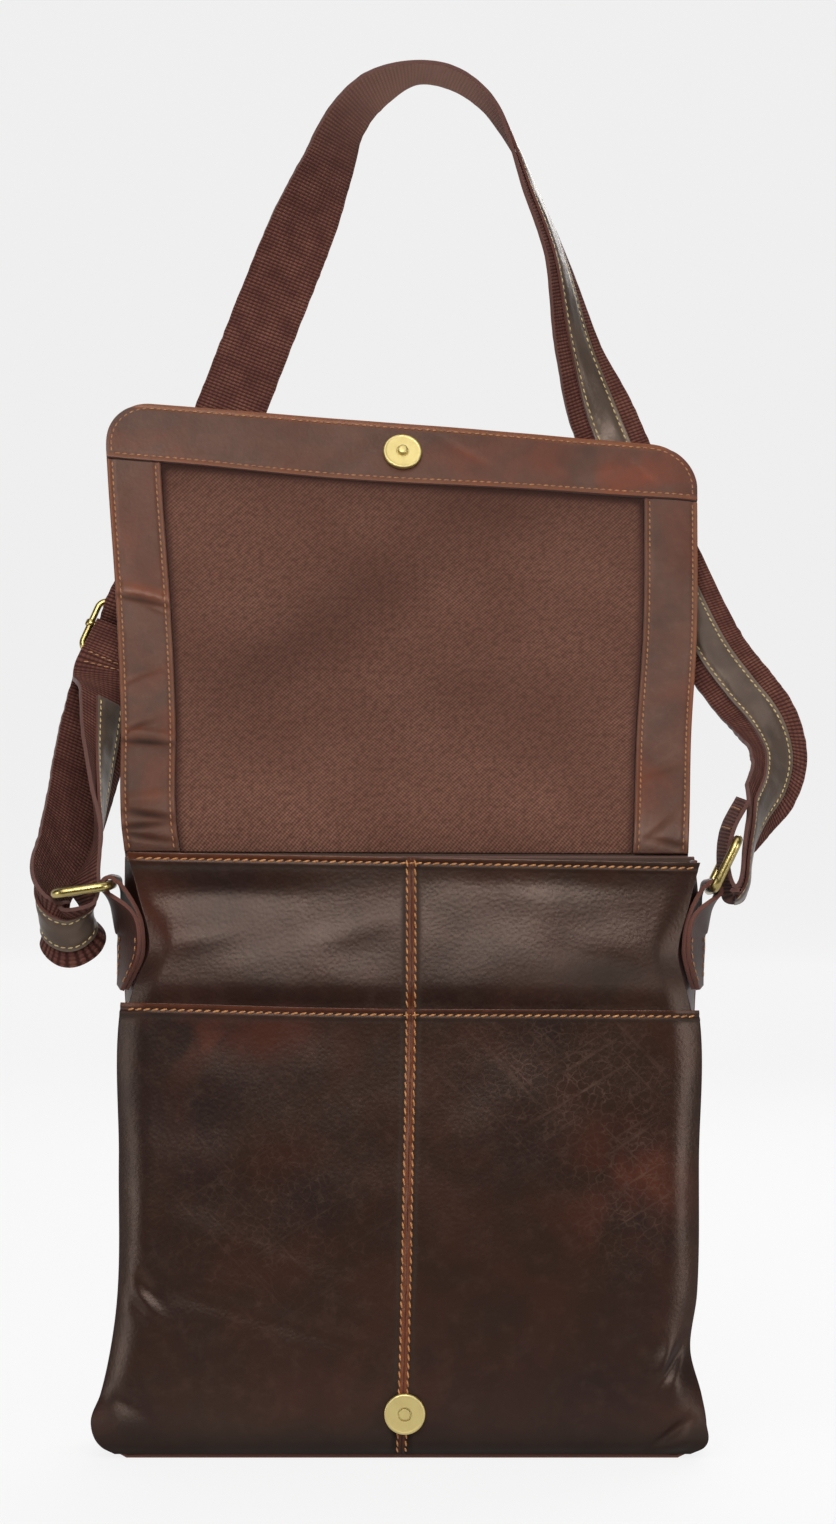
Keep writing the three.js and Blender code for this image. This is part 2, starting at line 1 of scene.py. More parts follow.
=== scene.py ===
"""Leather crossbody bag with its flap raised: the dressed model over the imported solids.

Sizes are in millimetres while a piece is shaped and in metres in its mesh. X runs to the right of the front,
Y from the front to the back and Z up, and the origin is the middle of the flat base.
"""

import logging
import math
from collections.abc import Callable, Sequence
from dataclasses import dataclass, field
from enum import Enum

import bmesh
import bpy
import numpy as np
from mathutils import Matrix, Vector, noise

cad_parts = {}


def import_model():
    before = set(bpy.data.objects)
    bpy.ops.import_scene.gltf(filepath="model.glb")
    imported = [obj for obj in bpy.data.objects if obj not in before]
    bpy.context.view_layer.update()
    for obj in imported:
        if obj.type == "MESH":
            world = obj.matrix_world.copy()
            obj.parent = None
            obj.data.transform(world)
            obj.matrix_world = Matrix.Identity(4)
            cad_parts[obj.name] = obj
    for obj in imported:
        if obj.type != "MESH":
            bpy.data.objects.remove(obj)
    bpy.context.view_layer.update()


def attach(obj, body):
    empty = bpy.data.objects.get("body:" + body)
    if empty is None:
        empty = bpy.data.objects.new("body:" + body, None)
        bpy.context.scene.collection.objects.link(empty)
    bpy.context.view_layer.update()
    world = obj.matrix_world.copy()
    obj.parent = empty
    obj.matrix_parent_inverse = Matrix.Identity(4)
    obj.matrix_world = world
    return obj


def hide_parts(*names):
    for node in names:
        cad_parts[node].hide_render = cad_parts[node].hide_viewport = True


log = logging.getLogger("bag")

Array = np.ndarray
Material = bpy.types.Material
Piece = bpy.types.Object
Socket = bpy.types.NodeSocket
Point = tuple[float, float, float]
Rows = tuple[tuple[float, ...], ...]
Pair = tuple[Array, Array]
Surface = Callable[[Array, Array], Array]
Shape = Callable[[Array, Array], Pair]
Mesh = bmesh.types.BMesh
Seams = list[list[Matrix]]

MM = 0.001

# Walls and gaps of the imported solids
LEATHER = 1.8
LINING = 0.9
FACING = 1.6
BAND = 2.1
GAP = 0.35
WEBBING = 1.8
STRIP = 1.4

# Small steps for measuring how a surface faces
STEP_SHARE = 1e-3
STEP_UP = 0.05

# Snaps stand this far off the leather
SNAP_GAP = 0.1


class Slot(Enum):
    """Material slots of the record."""

    DARK_LEATHER = "dark_leather"
    FLAP_LEATHER = "flap_leather"
    STRAP_LEATHER = "strap_leather"
    TWILL = "twill"
    WEBBING = "webbing"
    THREAD = "thread"
    BRASS = "brass"
    PALE_BRASS = "pale_brass"


# Curves and surfaces


def lerp(a: Array | float, b: Array | float, share: Array | float) -> Array:
    """Value at a share of the way from a to b."""
    return a + (b - a) * share


def stack(*columns: Array) -> Array:
    """Columns of coordinates side by side."""
    return np.stack(columns, axis=-1)


def unit(vectors: Array) -> Array:
    """Vectors of length one, along the last axis."""
    return vectors / np.maximum(np.linalg.norm(vectors, axis=-1, keepdims=True), 1e-12)


def bell(x: Array) -> Array:
    """Bell curve with its height of one at zero."""
    return np.exp(-(x**2))


def ease(x: Array) -> Array:
    """Smooth step from 0 to 1."""
    t = np.clip(x, 0, 1)
    return t * t * (3 - 2 * t)


def reach_of(points: Array) -> Array:
    """Length of a line of points up to each of them."""
    return np.concatenate([[0], np.cumsum(np.linalg.norm(np.diff(points, axis=0), axis=1))])


@dataclass(frozen=True)
class Swell:
    """Soft random swells: their height, the width of one, and the number that picks the pattern."""

    height: float
    size: float
    seed: float

    def at(self, x: Array, z: Array) -> Array:
        """Heights at each place, in millimetres."""
        pairs = zip(x.ravel() / self.size, z.ravel() / self.size)
        return self.height * np.array([noise.noise((a, b, self.seed)) for a, b in pairs]).reshape(x.shape)


Swells = tuple[Swell, ...]


def spots(rows: Rows, x: Array, z: Array) -> Array:
    """Sum of soft oval spots.

    Args:
        rows: Strength, middle and half-width across, middle and half-width up, for each spot.
        x: Places across.
        z: Places up.

    Returns:
        Strength at each place.
    """
    return sum(much * bell((x - at) / wide) * bell((z - up) / tall) for much, at, wide, up, tall in rows)


class Table:
    """Smooth curves through the rows of a table, one for each column, along its first column."""

    def __init__(self, columns: str, rows: Sequence[Sequence[float]]) -> None:
        """Keeps the rows under their column names."""
        self.columns = columns.split()
        self.data = np.array(rows, dtype=float)

    def at(self, key: Array) -> dict[str, Array]:
        """Every column at places along the first one.

        Args:
            key: Places along the first column.

        Returns:
            An array for each of the other columns.
        """
        knots = self.data[:, 0]
        last = len(knots) - 1
        key = np.clip(np.asarray(key, dtype=float), knots[0], knots[-1])
        after = np.clip(np.searchsorted(knots, key, side="right"), 1, last)
        before = after - 1
        first = np.where(before > 0, before - 1, after)
        final = np.where(after < last, after + 1, before)
        span = knots[after] - knots[before]
        pull_in = span / 2 / (knots[before] - knots[first])
        pull_out = span / 2 / (knots[final] - knots[after])
        p = (key - knots[before]) / span
        weights = (
            (first, -pull_in * p**3 + 2 * pull_in * p**2 - pull_in * p),
            (before, (1 + pull_in) * p**3 + (-1.5 - 2 * pull_in) * p**2 + (-0.5 + pull_in) * p + 1),
            (after, (-1 - pull_out) * p**3 + (1.5 + pull_out) * p**2 + 0.5 * p),
            (final, pull_out * p**3 - pull_out * p**2),
        )
        return {
            name: sum(weight * self.data[row, column] for row, weight in weights)
            for column, name in enumerate(self.columns)
            if column > 0
        }


class Path:
    """Smooth curve through stations, counted from 0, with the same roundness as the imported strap."""

    def __init__(self, stations: Array) -> None:
        """Adds a station past each end, so that the curve runs straight out there."""
        self.count = len(stations)
        self.points = np.vstack([2 * stations[0] - stations[1], stations, 2 * stations[-1] - stations[-2]])

    def at(self, station: Array) -> Array:
        """Points of the curve.

        Args:
            station: Station numbers, whole or between two stations.

        Returns:
            One row of coordinates for each station number.
        """
        start = np.clip(np.floor(station).astype(int), 0, self.count - 2)
        t = (station - start)[..., None]
        p0, p1, p2, p3 = (self.points[start + i] for i in range(4))
        pairs = ((p0, p1), (p1, p2), (p2, p3))
        gaps = [np.linalg.norm(b - a, axis=-1, keepdims=True) ** 0.5 for a, b in pairs]
        middle = np.where(gaps[1] < 1e-4, 1.0, gaps[1])
        enter = np.where(gaps[0] < 1e-4, middle, gaps[0])
        leave = np.where(gaps[2] < 1e-4, middle, gaps[2])
        m1 = ((p1 - p0) / enter - (p2 - p0) / (enter + middle) + (p2 - p1) / middle) * middle
        m2 = ((p2 - p1) / middle - (p3 - p1) / (middle + leave) + (p3 - p2) / leave) * middle
        rise = 2 * p1 - 2 * p2 + m1 + m2
        bend = -3 * p1 + 3 * p2 - 2 * m1 - m2
        return p1 + m1 * t + bend * t**2 + rise * t**3


def facing(
    surface: Surface, u: Array, v: Array, step_u: float = STEP_SHARE, step_v: float = STEP_UP
) -> Array:
    """The way that a surface faces.

    Args:
        surface: The surface.
        u: First coordinates.
        v: Second coordinates.
        step_u: Small step of u.
        step_v: Small step of v.

    Returns:
        Normals of length one.
    """
    across = surface(u + step_u, v) - surface(u - step_u, v)
    along = surface(u, v + step_v) - surface(u, v - step_v)
    return unit(np.cross(across, along))


@dataclass(frozen=True)
class Fold:
    """A soft fold or dent in a panel, along a line of its own."""

    x: float
    z: float
    length: float
    width: float
    turn: float
    depth: float

    def height(self, x: Array, z: Array) -> Array:
        """How far the panel stands out at each place, in millimetres."""
        angle = math.radians(self.turn)
        along = (x - self.x) * math.cos(angle) + (z - self.z) * math.sin(angle)
        across = -(x - self.x) * math.sin(angle) + (z - self.z) * math.cos(angle)
        return self.depth * bell(along / self.length) * bell(across / self.width)


Folds = tuple[Fold, ...]


def folded(folds: Folds, points: Array, signed: bool = True) -> Array:
    """Height of some folds together at each point, or the sum of their sizes where signs don't count."""
    heights = (fold.height(points[..., 0], points[..., 2]) for fold in folds)
    return sum(heights) if signed else sum(map(np.abs, heights))


# Meshes


@dataclass
class Marks:
    """Colour marks of a piece: values from 0 to 1 for each of its points, under the name the finish reads."""

    wear: Array | None = None
    blush: Array | None = None
    scuff: Array | None = None
    # Darkening that stands in for shade: painted shade at the feet, in grooves, in crease valleys and in the
    # lining's corners.
    soil: Array | None = None


def object_of(name: str, bm: Mesh, sharp_degrees: float = 180.0) -> Piece:
    """Turns a bmesh into an object of the scene and frees it.

    Args:
        name: Name of the piece.
        bm: The mesh so far.
        sharp_degrees: Bends above this angle stay sharp, the others are shaded smooth.

    Returns:
        The new object.
    """
    mesh = bpy.data.meshes.new(name)
    bm.to_mesh(mesh)
    bm.free()
    mesh.shade_smooth()
    mesh.set_sharp_from_angle(angle=math.radians(sharp_degrees))
    obj = bpy.data.objects.new(name, mesh)
    bpy.context.scene.collection.objects.link(obj)
    return obj


@dataclass
class Sheet:
    """A sheet of leather or cloth, made from a flat grid.

    The shape gives each grid point, from 0 to 1 across and along, its place and its spot on the flat cut,
    both in millimetres. The wall lies behind the shape when its side is -1 and around it when its side is 0.
    The cut edges take the second finish and the back takes the third.
    """

    name: str
    cells: tuple[int, int]
    shape: Shape
    mark: Callable[[Array, Array], Marks] | None = None
    wall: float = LEATHER
    side: float = -1.0
    round_mm: float = 0.45
    round_steps: int = 2
    round_degrees: float = 50.0

    def build(self) -> Piece:
        """Makes the object, with the flat cut as its UV map, in metres."""
        bm = bmesh.new()
        bm.loops.layers.uv.new("cut")
        bmesh.ops.create_grid(bm, x_segments=self.cells[0], y_segments=self.cells[1], size=0.5)
        obj = object_of(self.name, bm)
        mesh = obj.data
        flat = np.empty(len(mesh.vertices) * 3)
        mesh.vertices.foreach_get("co", flat)
        u, v = (flat.reshape(-1, 3)[:, :2] + 0.5).T
        points, cut = self.shape(u, v)
        mesh.vertices.foreach_set("co", (points * MM).ravel())
        corners = np.empty(len(mesh.loops), dtype=np.int32)
        mesh.loops.foreach_get("vertex_index", corners)
        mesh.uv_layers["cut"].data.foreach_set("uv", (cut * MM)[corners].ravel())
        for key, values in vars(self.mark(u, v) if self.mark else Marks()).items():
            if values is not None:
                layer = mesh.attributes.new(key, "FLOAT", "POINT")
                layer.data.foreach_set("value", np.clip(values, 0, 1))
        mesh.update()
        self.thicken(obj)
        return obj

    def thicken(self, obj: Piece) -> None:
        """Gives the sheet its wall and round edges."""
        shell = obj.modifiers.new("wall", "SOLIDIFY")
        shell.thickness = self.wall * MM
        shell.offset = self.side
        shell.use_quality_normals = True
        shell.material_offset_rim = 1
        shell.material_offset = 2
        edge = obj.modifiers.new("edges", "BEVEL")
        edge.width = self.round_mm * MM
        edge.segments = self.round_steps
        edge.limit_method = "ANGLE"
        edge.angle_limit = math.radians(self.round_degrees)


def dress(obj: Piece, slot: Slot, finishes: Sequence[Material], *nodes: str) -> Piece:
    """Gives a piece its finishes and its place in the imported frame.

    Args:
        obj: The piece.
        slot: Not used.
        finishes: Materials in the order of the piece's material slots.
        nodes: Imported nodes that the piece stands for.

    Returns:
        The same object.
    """
    for finish in finishes:
        obj.data.materials.append(finish)
    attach(obj, "root")
    if nodes:
        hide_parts(*nodes)
    log.info("%s: %d points", obj.name, len(obj.data.vertices))
    return obj


# Stitches


@dataclass(frozen=True)
class Stitch:
    """A kind of stitch: its pitch, the share that is thread, the thread's width and its slant in degrees."""

    pitch: float
    share: float
    width: float
    slant: float
    flatness: float = 0.36
    lift: float = 0.16

    def row(self, points: Array, normals: Array) -> list[Matrix]:
        """A row of stitches along a line on a surface.

        Args:
            points: Points of the line.
            normals: The way that the surface faces at each of them.

        Returns:
            One matrix for each stitch: it turns a ball of radius one into the stitch, in metres.
        """
        reach = reach_of(points)
        count = max(1, round(reach[-1] / self.pitch))
        half = self.pitch * self.share / 2
        found = []
        for middle in (np.arange(count) + 0.5) * reach[-1] / count:
            tail, head = (
                Vector([np.interp(end, reach, points[:, k]) for k in range(3)])
                for end in (middle - half, middle + half)
            )
            out = Vector([np.interp(middle, reach, normals[:, k]) for k in range(3)]).normalized()
            along = (head - tail).normalized()
            side = out.cross(along).normalized()
            lean = Matrix.Rotation(math.radians(self.slant), 3, out)
            axes = (lean @ side * (self.width / 2), out * self.width * self.flatness, lean @ along * half)
            place = Matrix.Translation(((head + tail) / 2 + out * self.width * self.lift) * MM)
            found.append(place @ Matrix.Scale(MM, 4) @ Matrix(axes).transposed().to_4x4())
        return found


BODY_STITCH = Stitch(3.85, 0.86, 1.0, 14.0)
FLAP_STITCH = Stitch(3.3, 0.72, 0.85, 6.0)
STRAP_STITCH = Stitch(3.3, 0.72, 0.8, 6.0)
STRAP_END_STITCH = Stitch(3.3, 0.75, 0.85, 10.0)
TAB_STITCH = Stitch(3.6, 0.75, 0.9, 6.0)


def sew(name: str, rows: Sequence[Sequence[Matrix]]) -> Piece:
    """All the stitches of some rows, as one piece.

    Args:
        name: Name of the piece.
        rows: Rows of stitches.

    Returns:
        The new object.
    """
    whole = bmesh.new()
    for row in rows:
        part = bmesh.new()
        for place in row:
            bmesh.ops.create_uvsphere(part, u_segments=7, v_segments=5, radius=1, matrix=place)
        bmesh.ops.recalc_face_normals(part, faces=part.faces)
        mesh = bpy.data.meshes.new("row")
        part.to_mesh(mesh)
        part.free()
        whole.from_mesh(mesh)
        bpy.data.meshes.remove(mesh)
    return object_of(name, whole)


# Finishes


def linear(code: str) -> tuple[float, float, float, float]:
    """Linear colour of an sRGB hex value."""
    parts = (int(code[i : i + 2], 16) / 255 for i in (1, 3, 5))
    r, g, b = (c / 12.92 if c <= 0.04045 else ((c + 0.055) / 1.055) ** 2.4 for c in parts)
    return (r, g, b, 1.0)


class Nodes:
    """Nodes of a new material, with a short way to add each kind that the finishes share.

    Sizes are in millimetres.
    """

    # One period of Blender's wave texture, at a scale of one, in millimetres
    WAVE_MM = 314.16

    def __init__(self, name: str) -> None:
        """Starts the material."""
        self.material = bpy.data.materials.new(name)
        self.material.use_nodes = True
        self.shader = self.material.node_tree.nodes["Principled BSDF"]

    def put(self, node: bpy.types.Node, inputs: dict) -> None:
        """Links an output to each input of a node, by name or number, or sets the input's value."""
        for key, value in inputs.items():
            if isinstance(value, Socket):
                self.material.node_tree.links.new(value, node.inputs[key])
            else:
                node.inputs[key].default_value = value

    def add(self, kind: str, inputs: dict, **settings: object) -> bpy.types.Node:
        """Adds a node.

        Args:
            kind: Type of the node.
            inputs: Value or output to link, for each input by name or number.
            settings: Settings of the node itself.

        Returns:
            The new node.
        """
        made = self.material.node_tree.nodes.new(kind)
        for key, value in settings.items():
            setattr(made, key, value)
        self.put(made, inputs)
        return made

    def place(self, space: str = "Object") -> Socket:
        """Places on the piece, or on its flat cut."""
        return self.add("ShaderNodeTexCoord", {}).outputs[space]

    def mark(self, name: str) -> Socket:
        """Colour mark of the piece."""
        return self.add("ShaderNodeAttribute", {}, attribute_name=name).outputs["Fac"]

    def noise(self, at: Socket, size: float, detail: float, rough: float = 0.5, twist: float = 0.0,
              output: str = "Fac") -> Socket:
        """Soft noise with spots of a size."""
        inputs = {"Vector": at, "Scale": 1 / MM / size, "Detail": detail, "Roughness": rough,
                  "Distortion": twist}
        return self.add("ShaderNodeTexNoise", inputs).outputs[output]

    def cells(self, at: Socket, size: float, feature: str) -> Socket:
        """Distance to the middles or edges of cells of a size."""
        inputs = {"Vector": at, "Scale": 1 / MM / size}
        return self.add("ShaderNodeTexVoronoi", inputs, feature=feature).outputs["Distance"]

    def wave(self, at: Socket, size: float, twist: float, detail: float = 2.0, detail_scale: float = 1.0,
             direction: str = "X") -> Socket:
        """Ribs of a size, across one direction."""
        inputs = {"Vector": at, "Scale": self.WAVE_MM / size, "Distortion": twist, "Detail": detail,
                  "Detail Scale": detail_scale}
        return self.add("ShaderNodeTexWave", inputs, bands_direction=direction).outputs["Fac"]

    def turned(self, at: Socket, *degrees: float) -> Socket:
        """Places turned about the three axes."""
        turn = [math.radians(part) for part in degrees]
        return self.add("ShaderNodeMapping", {"Vector": at, "Rotation": turn}).outputs[0]

    def stretch(self, at: Socket, by: Point) -> Socket:
        """Vectors multiplied by a factor for each axis."""
        return self.add("ShaderNodeVectorMath", {0: at, 1: by}, operation="MULTIPLY").outputs[0]

    def ramp(self, value: Socket, low: float, high: float, first: float = 0.0, last: float = 1.0) -> Socket:
        """Value that runs from first to last while another runs from low to high."""
        inputs = {"Value": value, "From Min": low, "From Max": high, "To Min": first, "To Max": last}
        return self.add("ShaderNodeMapRange", inputs).outputs[0]

    def calc(self, operation: str, *values: Socket | float, clamp: bool = False) -> Socket:
        """Result of a sum."""
        inputs = dict(enumerate(values))
        return self.add("ShaderNodeMath", inputs, operation=operation, use_clamp=clamp).outputs[0]

    def mix(self, share: Socket, under: Socket | str, over: str) -> Socket:
        """Colour with another one laid over a share of it."""
        base = linear(under) if isinstance(under, str) else under
        return self.add("ShaderNodeMix", {0: share, 6: base, 7: linear(over)}, data_type="RGBA").outputs[2]

    def finish(self, **inputs: object) -> Material:
        """Sets the shader's inputs, named with _ for a space, and gives the material."""
        self.put(self.shader, {key.replace("_", " "): value for key, value in inputs.items()})
        return self.material

    def bump(self, height: Socket, strength: float, depth: float) -> Socket:
        """Normals of a relief."""
        inputs = {"Height": height, "Strength": strength, "Distance": depth * MM}
        return self.add("ShaderNodeBump", inputs).outputs[0]


@dataclass(frozen=True)
class Leather:
    """Waxed cowhide: dark with oil and wax, pale and warm where it is bent, rubbed or stitched."""

    name: str
    ground: str
    deep: str
    warm: str
    worn: str
    pale: str
    roughness: float
    patch_mm: float = 60.0
    warm_amount: float = 0.4
    specular: float = 0.24
    cloud: float = 0.9
    grain_mm: float = 1.5
    grain_depth: float = 0.13
    speck_mm: float = 7.0
    heat_mm: float = 34.0
    vein_mm: float = 4.4
    wander_mm: float = 6.0
    crease_mm: float = 3.2
    # Colour of the painted shade.
    soil: str = "#0d0706"
    sheen: str = "#ffe3d2"
    scratch_degrees: tuple[float, ...] = (32.0, -46.0)
    scratch_stretch: Point = (14.0, 14.0, 480.0)

    def make(self) -> Material:
        """The material: clouds of two browns, warm patches, pull-up marks, pebbled grain and a waxy gloss."""
        nodes = Nodes(self.name)
        place = nodes.place()
        clouds = nodes.noise(place, self.patch_mm, 4.0, 0.6)
        specks = nodes.noise(place, self.speck_mm, 5.0, 0.65)
        heat = nodes.noise(place, self.heat_mm, 5.0, twist=0.6)
        body = nodes.mix(nodes.ramp(clouds, 0.34, 0.68, last=self.cloud), self.ground, self.deep)
        body = nodes.mix(nodes.ramp(specks, 0.5, 0.8, last=0.14), body, self.pale)
        blush = nodes.calc("ADD", nodes.mark("blush"), self.warm_amount)
        warmth = nodes.calc("MULTIPLY", nodes.ramp(heat, 0.42, 0.72), blush, clamp=True)
        body = nodes.mix(warmth, body, self.warm)
        lines = self.lines(nodes, place, specks)
        body = nodes.mix(lines, body, self.pale)
        patchy = nodes.ramp(specks, 0.3, 0.7, 0.7, 1.15)
        body = nodes.mix(nodes.calc("MULTIPLY", nodes.mark("wear"), patchy, clamp=True), body, self.worn)
        # The painted shade mark darkens the colour where shade falls, and also makes the leather rougher
        # there.
        soil = nodes.mark("soil")
        gloss = nodes.ramp(clouds, 0.3, 0.7, self.roughness - 0.04, self.roughness + 0.08)
        creases = nodes.noise(place, self.crease_mm, 5.0, 0.6, 0.8)
        pebbles = nodes.cells(place, self.grain_mm, "SMOOTH_F1")
        grain = nodes.calc("MULTIPLY_ADD", creases, 0.15, pebbles)
        relief = nodes.calc("MULTIPLY_ADD", lines, -0.5, grain)
        return nodes.finish(
            Base_Color=nodes.mix(soil, body, self.soil),
            Roughness=nodes.calc("MULTIPLY_ADD", soil, 0.5, gloss, clamp=True),
            Specular_IOR_Level=self.specular,
            Specular_Tint=linear(self.sheen),
            Normal=nodes.bump(relief, self.grain_depth, 0.6),
        )

    def lines(self, nodes: Nodes, place: Socket, specks: Socket) -> Socket:
        """Pull-up lines, where the piece is scuffed: a net of crackle and two ways of straight scratches.

        Args:
            nodes: Nodes of the material.
            place: Places on the piece.
            specks: Noise that breaks up the lines.

        Returns:
            Strength of the lines.
        """
        shift = nodes.stretch(nodes.noise(place, 5, 3.0, output="Color"), (self.wander_mm * MM,) * 3)
        moved = nodes.add("ShaderNodeVectorMath", {0: place, 1: shift}).outputs[0]
        found = nodes.ramp(nodes.cells(moved, self.vein_mm, "DISTANCE_TO_EDGE"), 0, 0.08, 0.55, 0.0)
        for degrees in self.scratch_degrees:
            drawn = nodes.stretch(nodes.turned(place, 0, degrees, 0), self.scratch_stretch)
            scratch = nodes.ramp(nodes.noise(drawn, 1 / MM, 1.0), 0.67, 0.74, last=0.5)
            found = nodes.calc("MAXIMUM", found, scratch)
        broken = nodes.calc("MULTIPLY", found, nodes.ramp(specks, 0.35, 0.65, 0.2))
        return nodes.calc("MULTIPLY", broken, nodes.mark("scuff"), clamp=True)


@dataclass(frozen=True)
class Fibre:
    """Open leather fibre, as on a cut edge or the flesh side: matt, felted and without grain."""

    name: str
    ground: str
    deep: str
    nap_mm: float = 0.8

    def make(self) -> Material:
        """The material: two browns in fine streaks, fully matt with a soft nap."""
        nodes = Nodes(self.name)
        nap = nodes.noise(nodes.place(), self.nap_mm, 3.0)
        body = nodes.mix(nap, self.ground, self.deep)
        relief = nodes.bump(nap, 0.25, 0.4)
        return nodes.finish(Base_Color=body, Normal=relief, Roughness=0.85, Sheen_Weight=0.15)


@dataclass(frozen=True)
class Twill:
    """Cotton twill: a fine diagonal rib, matt, with soft shadows where it isn't quite flat."""

    name: str = "cotton_twill_brown"
    ground: str = "#654437"
    deep: str = "#361e17"
    light: str = "#714e40"
    # Colour of the painted shade.
    soil: str = "#2c1813"
    rib_mm: float = 1.45
    pick_share: float = 0.8
    slub_mm: float = 2.6
    mottle_mm: float = 55.0

    def make(self) -> Material:
        """The material. The real rib is about 0.9 mm, and it is drawn at 1.45 mm so that it shows."""
        nodes = Nodes(self.name)
        cut = nodes.place("UV")
        rib = nodes.wave(nodes.turned(cut, 0, 0, 42), self.rib_mm, 0.6, detail_scale=1.5)
        pick = nodes.wave(nodes.turned(cut, 0, 0, -48), self.rib_mm * self.pick_share, 1.0)
        weave = nodes.calc("MULTIPLY_ADD", pick, 0.65, rib)
        mottle = nodes.ramp(nodes.noise(cut, self.mottle_mm, 2.0), 0.35, 0.65)
        slubs = nodes.ramp(nodes.noise(cut, self.slub_mm, 2.0, 0.75), 0.42, 0.68, last=0.5)
        body = nodes.mix(mottle, self.ground, self.light)
        body = nodes.mix(nodes.ramp(weave, 0.15, 1.3, 0.72, 0.0), body, self.deep)
        body = nodes.mix(slubs, body, self.deep)
        # Painted shade: darker along the facings and band, in broad diagonal bands and over the upper part.
        body = nodes.mix(nodes.mark("soil"), body, self.soil)
        relief = nodes.bump(weave, 0.5, 0.3)
        return nodes.finish(Base_Color=body, Normal=relief, Roughness=0.9, Specular_IOR_Level=0.15)


@dataclass(frozen=True)
class WovenStrap:
    """Heavy cotton webbing: thick weft ribs across it, crossed by columns of warp, matt and hairy."""

    name: str = "cotton_webbing_brown"
    ground: str = "#53312a"
    deep: str = "#2f1712"
    light: str = "#694338"
    # Colour of the painted highlight at the top of the arch.
    painted_highlight: str = "#a67f70"
    rib_mm: float = 1.6
    column_mm: float = 2.1
    fuzz_mm: float = 9.0

    def make(self) -> Material:
        """The material, with its ribs on the strap's own flat cut."""
        nodes = Nodes(self.name)
        cut = nodes.place("UV")
        ribs = nodes.wave(cut, self.rib_mm, 0.5, 2.0, 2.0, "Y")
        columns = nodes.wave(cut, self.column_mm, 0.5, 1.0)
        height = nodes.calc("MULTIPLY_ADD", ribs, 0.6, nodes.calc("MULTIPLY", columns, ribs))
        body = nodes.mix(nodes.ramp(nodes.noise(cut, self.fuzz_mm, 4.0), 0.35, 0.7), self.ground, self.light)
        body = nodes.mix(nodes.ramp(height, 0.1, 0.9, 0.9, 0.0), body, self.deep)
        # On the webbing the wear mark holds only the painted highlight at the top of the arch.
        body = nodes.mix(nodes.mark("wear"), body, self.painted_highlight)
        relief = nodes.bump(height, 0.45, 0.5)
        return nodes.finish(Base_Color=body, Normal=relief, Roughness=0.92, Specular_IOR_Level=0.15)


@dataclass(frozen=True)
class Thread:
    """Waxed polyester thread: a tight twist with a faint gloss."""

    name: str
    ground: str
    deep: str
    strand_mm: float = 1.2

    def make(self) -> Material:
        """The material: light and dark strands about half a millimetre apart."""
        nodes = Nodes(self.name)
        twist = nodes.ramp(nodes.noise(nodes.place(), self.strand_mm, 2.0), 0.35, 0.65)
        return nodes.finish(Base_Color=nodes.mix(twist, self.ground, self.deep), Roughness=0.55)


@dataclass(frozen=True)
class Brass:
    """Plated brass: bright where it is handled, brown in its hollows."""

    name: str
    ground: str
    tarnish: str
    roughness: float
    spots: float
    stain_mm: float = 6.0
    rub_mm: float = 0.9

    def make(self) -> Material:
        """The material: soft brown tarnish and fine rubbing marks in the gloss."""
        nodes = Nodes(self.name)
        place = nodes.place()
        stain = nodes.ramp(nodes.noise(place, self.stain_mm, 5.0), 0.4, 0.75, last=self.spots)
        rub = nodes.noise(place, self.rub_mm, 3.0)
        gloss = nodes.ramp(rub, 0.3, 0.7, self.roughness - 0.06, self.roughness + 0.08)
        body = nodes.mix(stain, self.ground, self.tarnish)
        return nodes.finish(Base_Color=body, Roughness=gloss, Metallic=1.0)


def made(finish: Leather | Fibre | Twill | WovenStrap | Thread | Brass) -> Material:
    """Field that makes a finish with its owner."""
    return field(init=False, default_factory=finish.make)


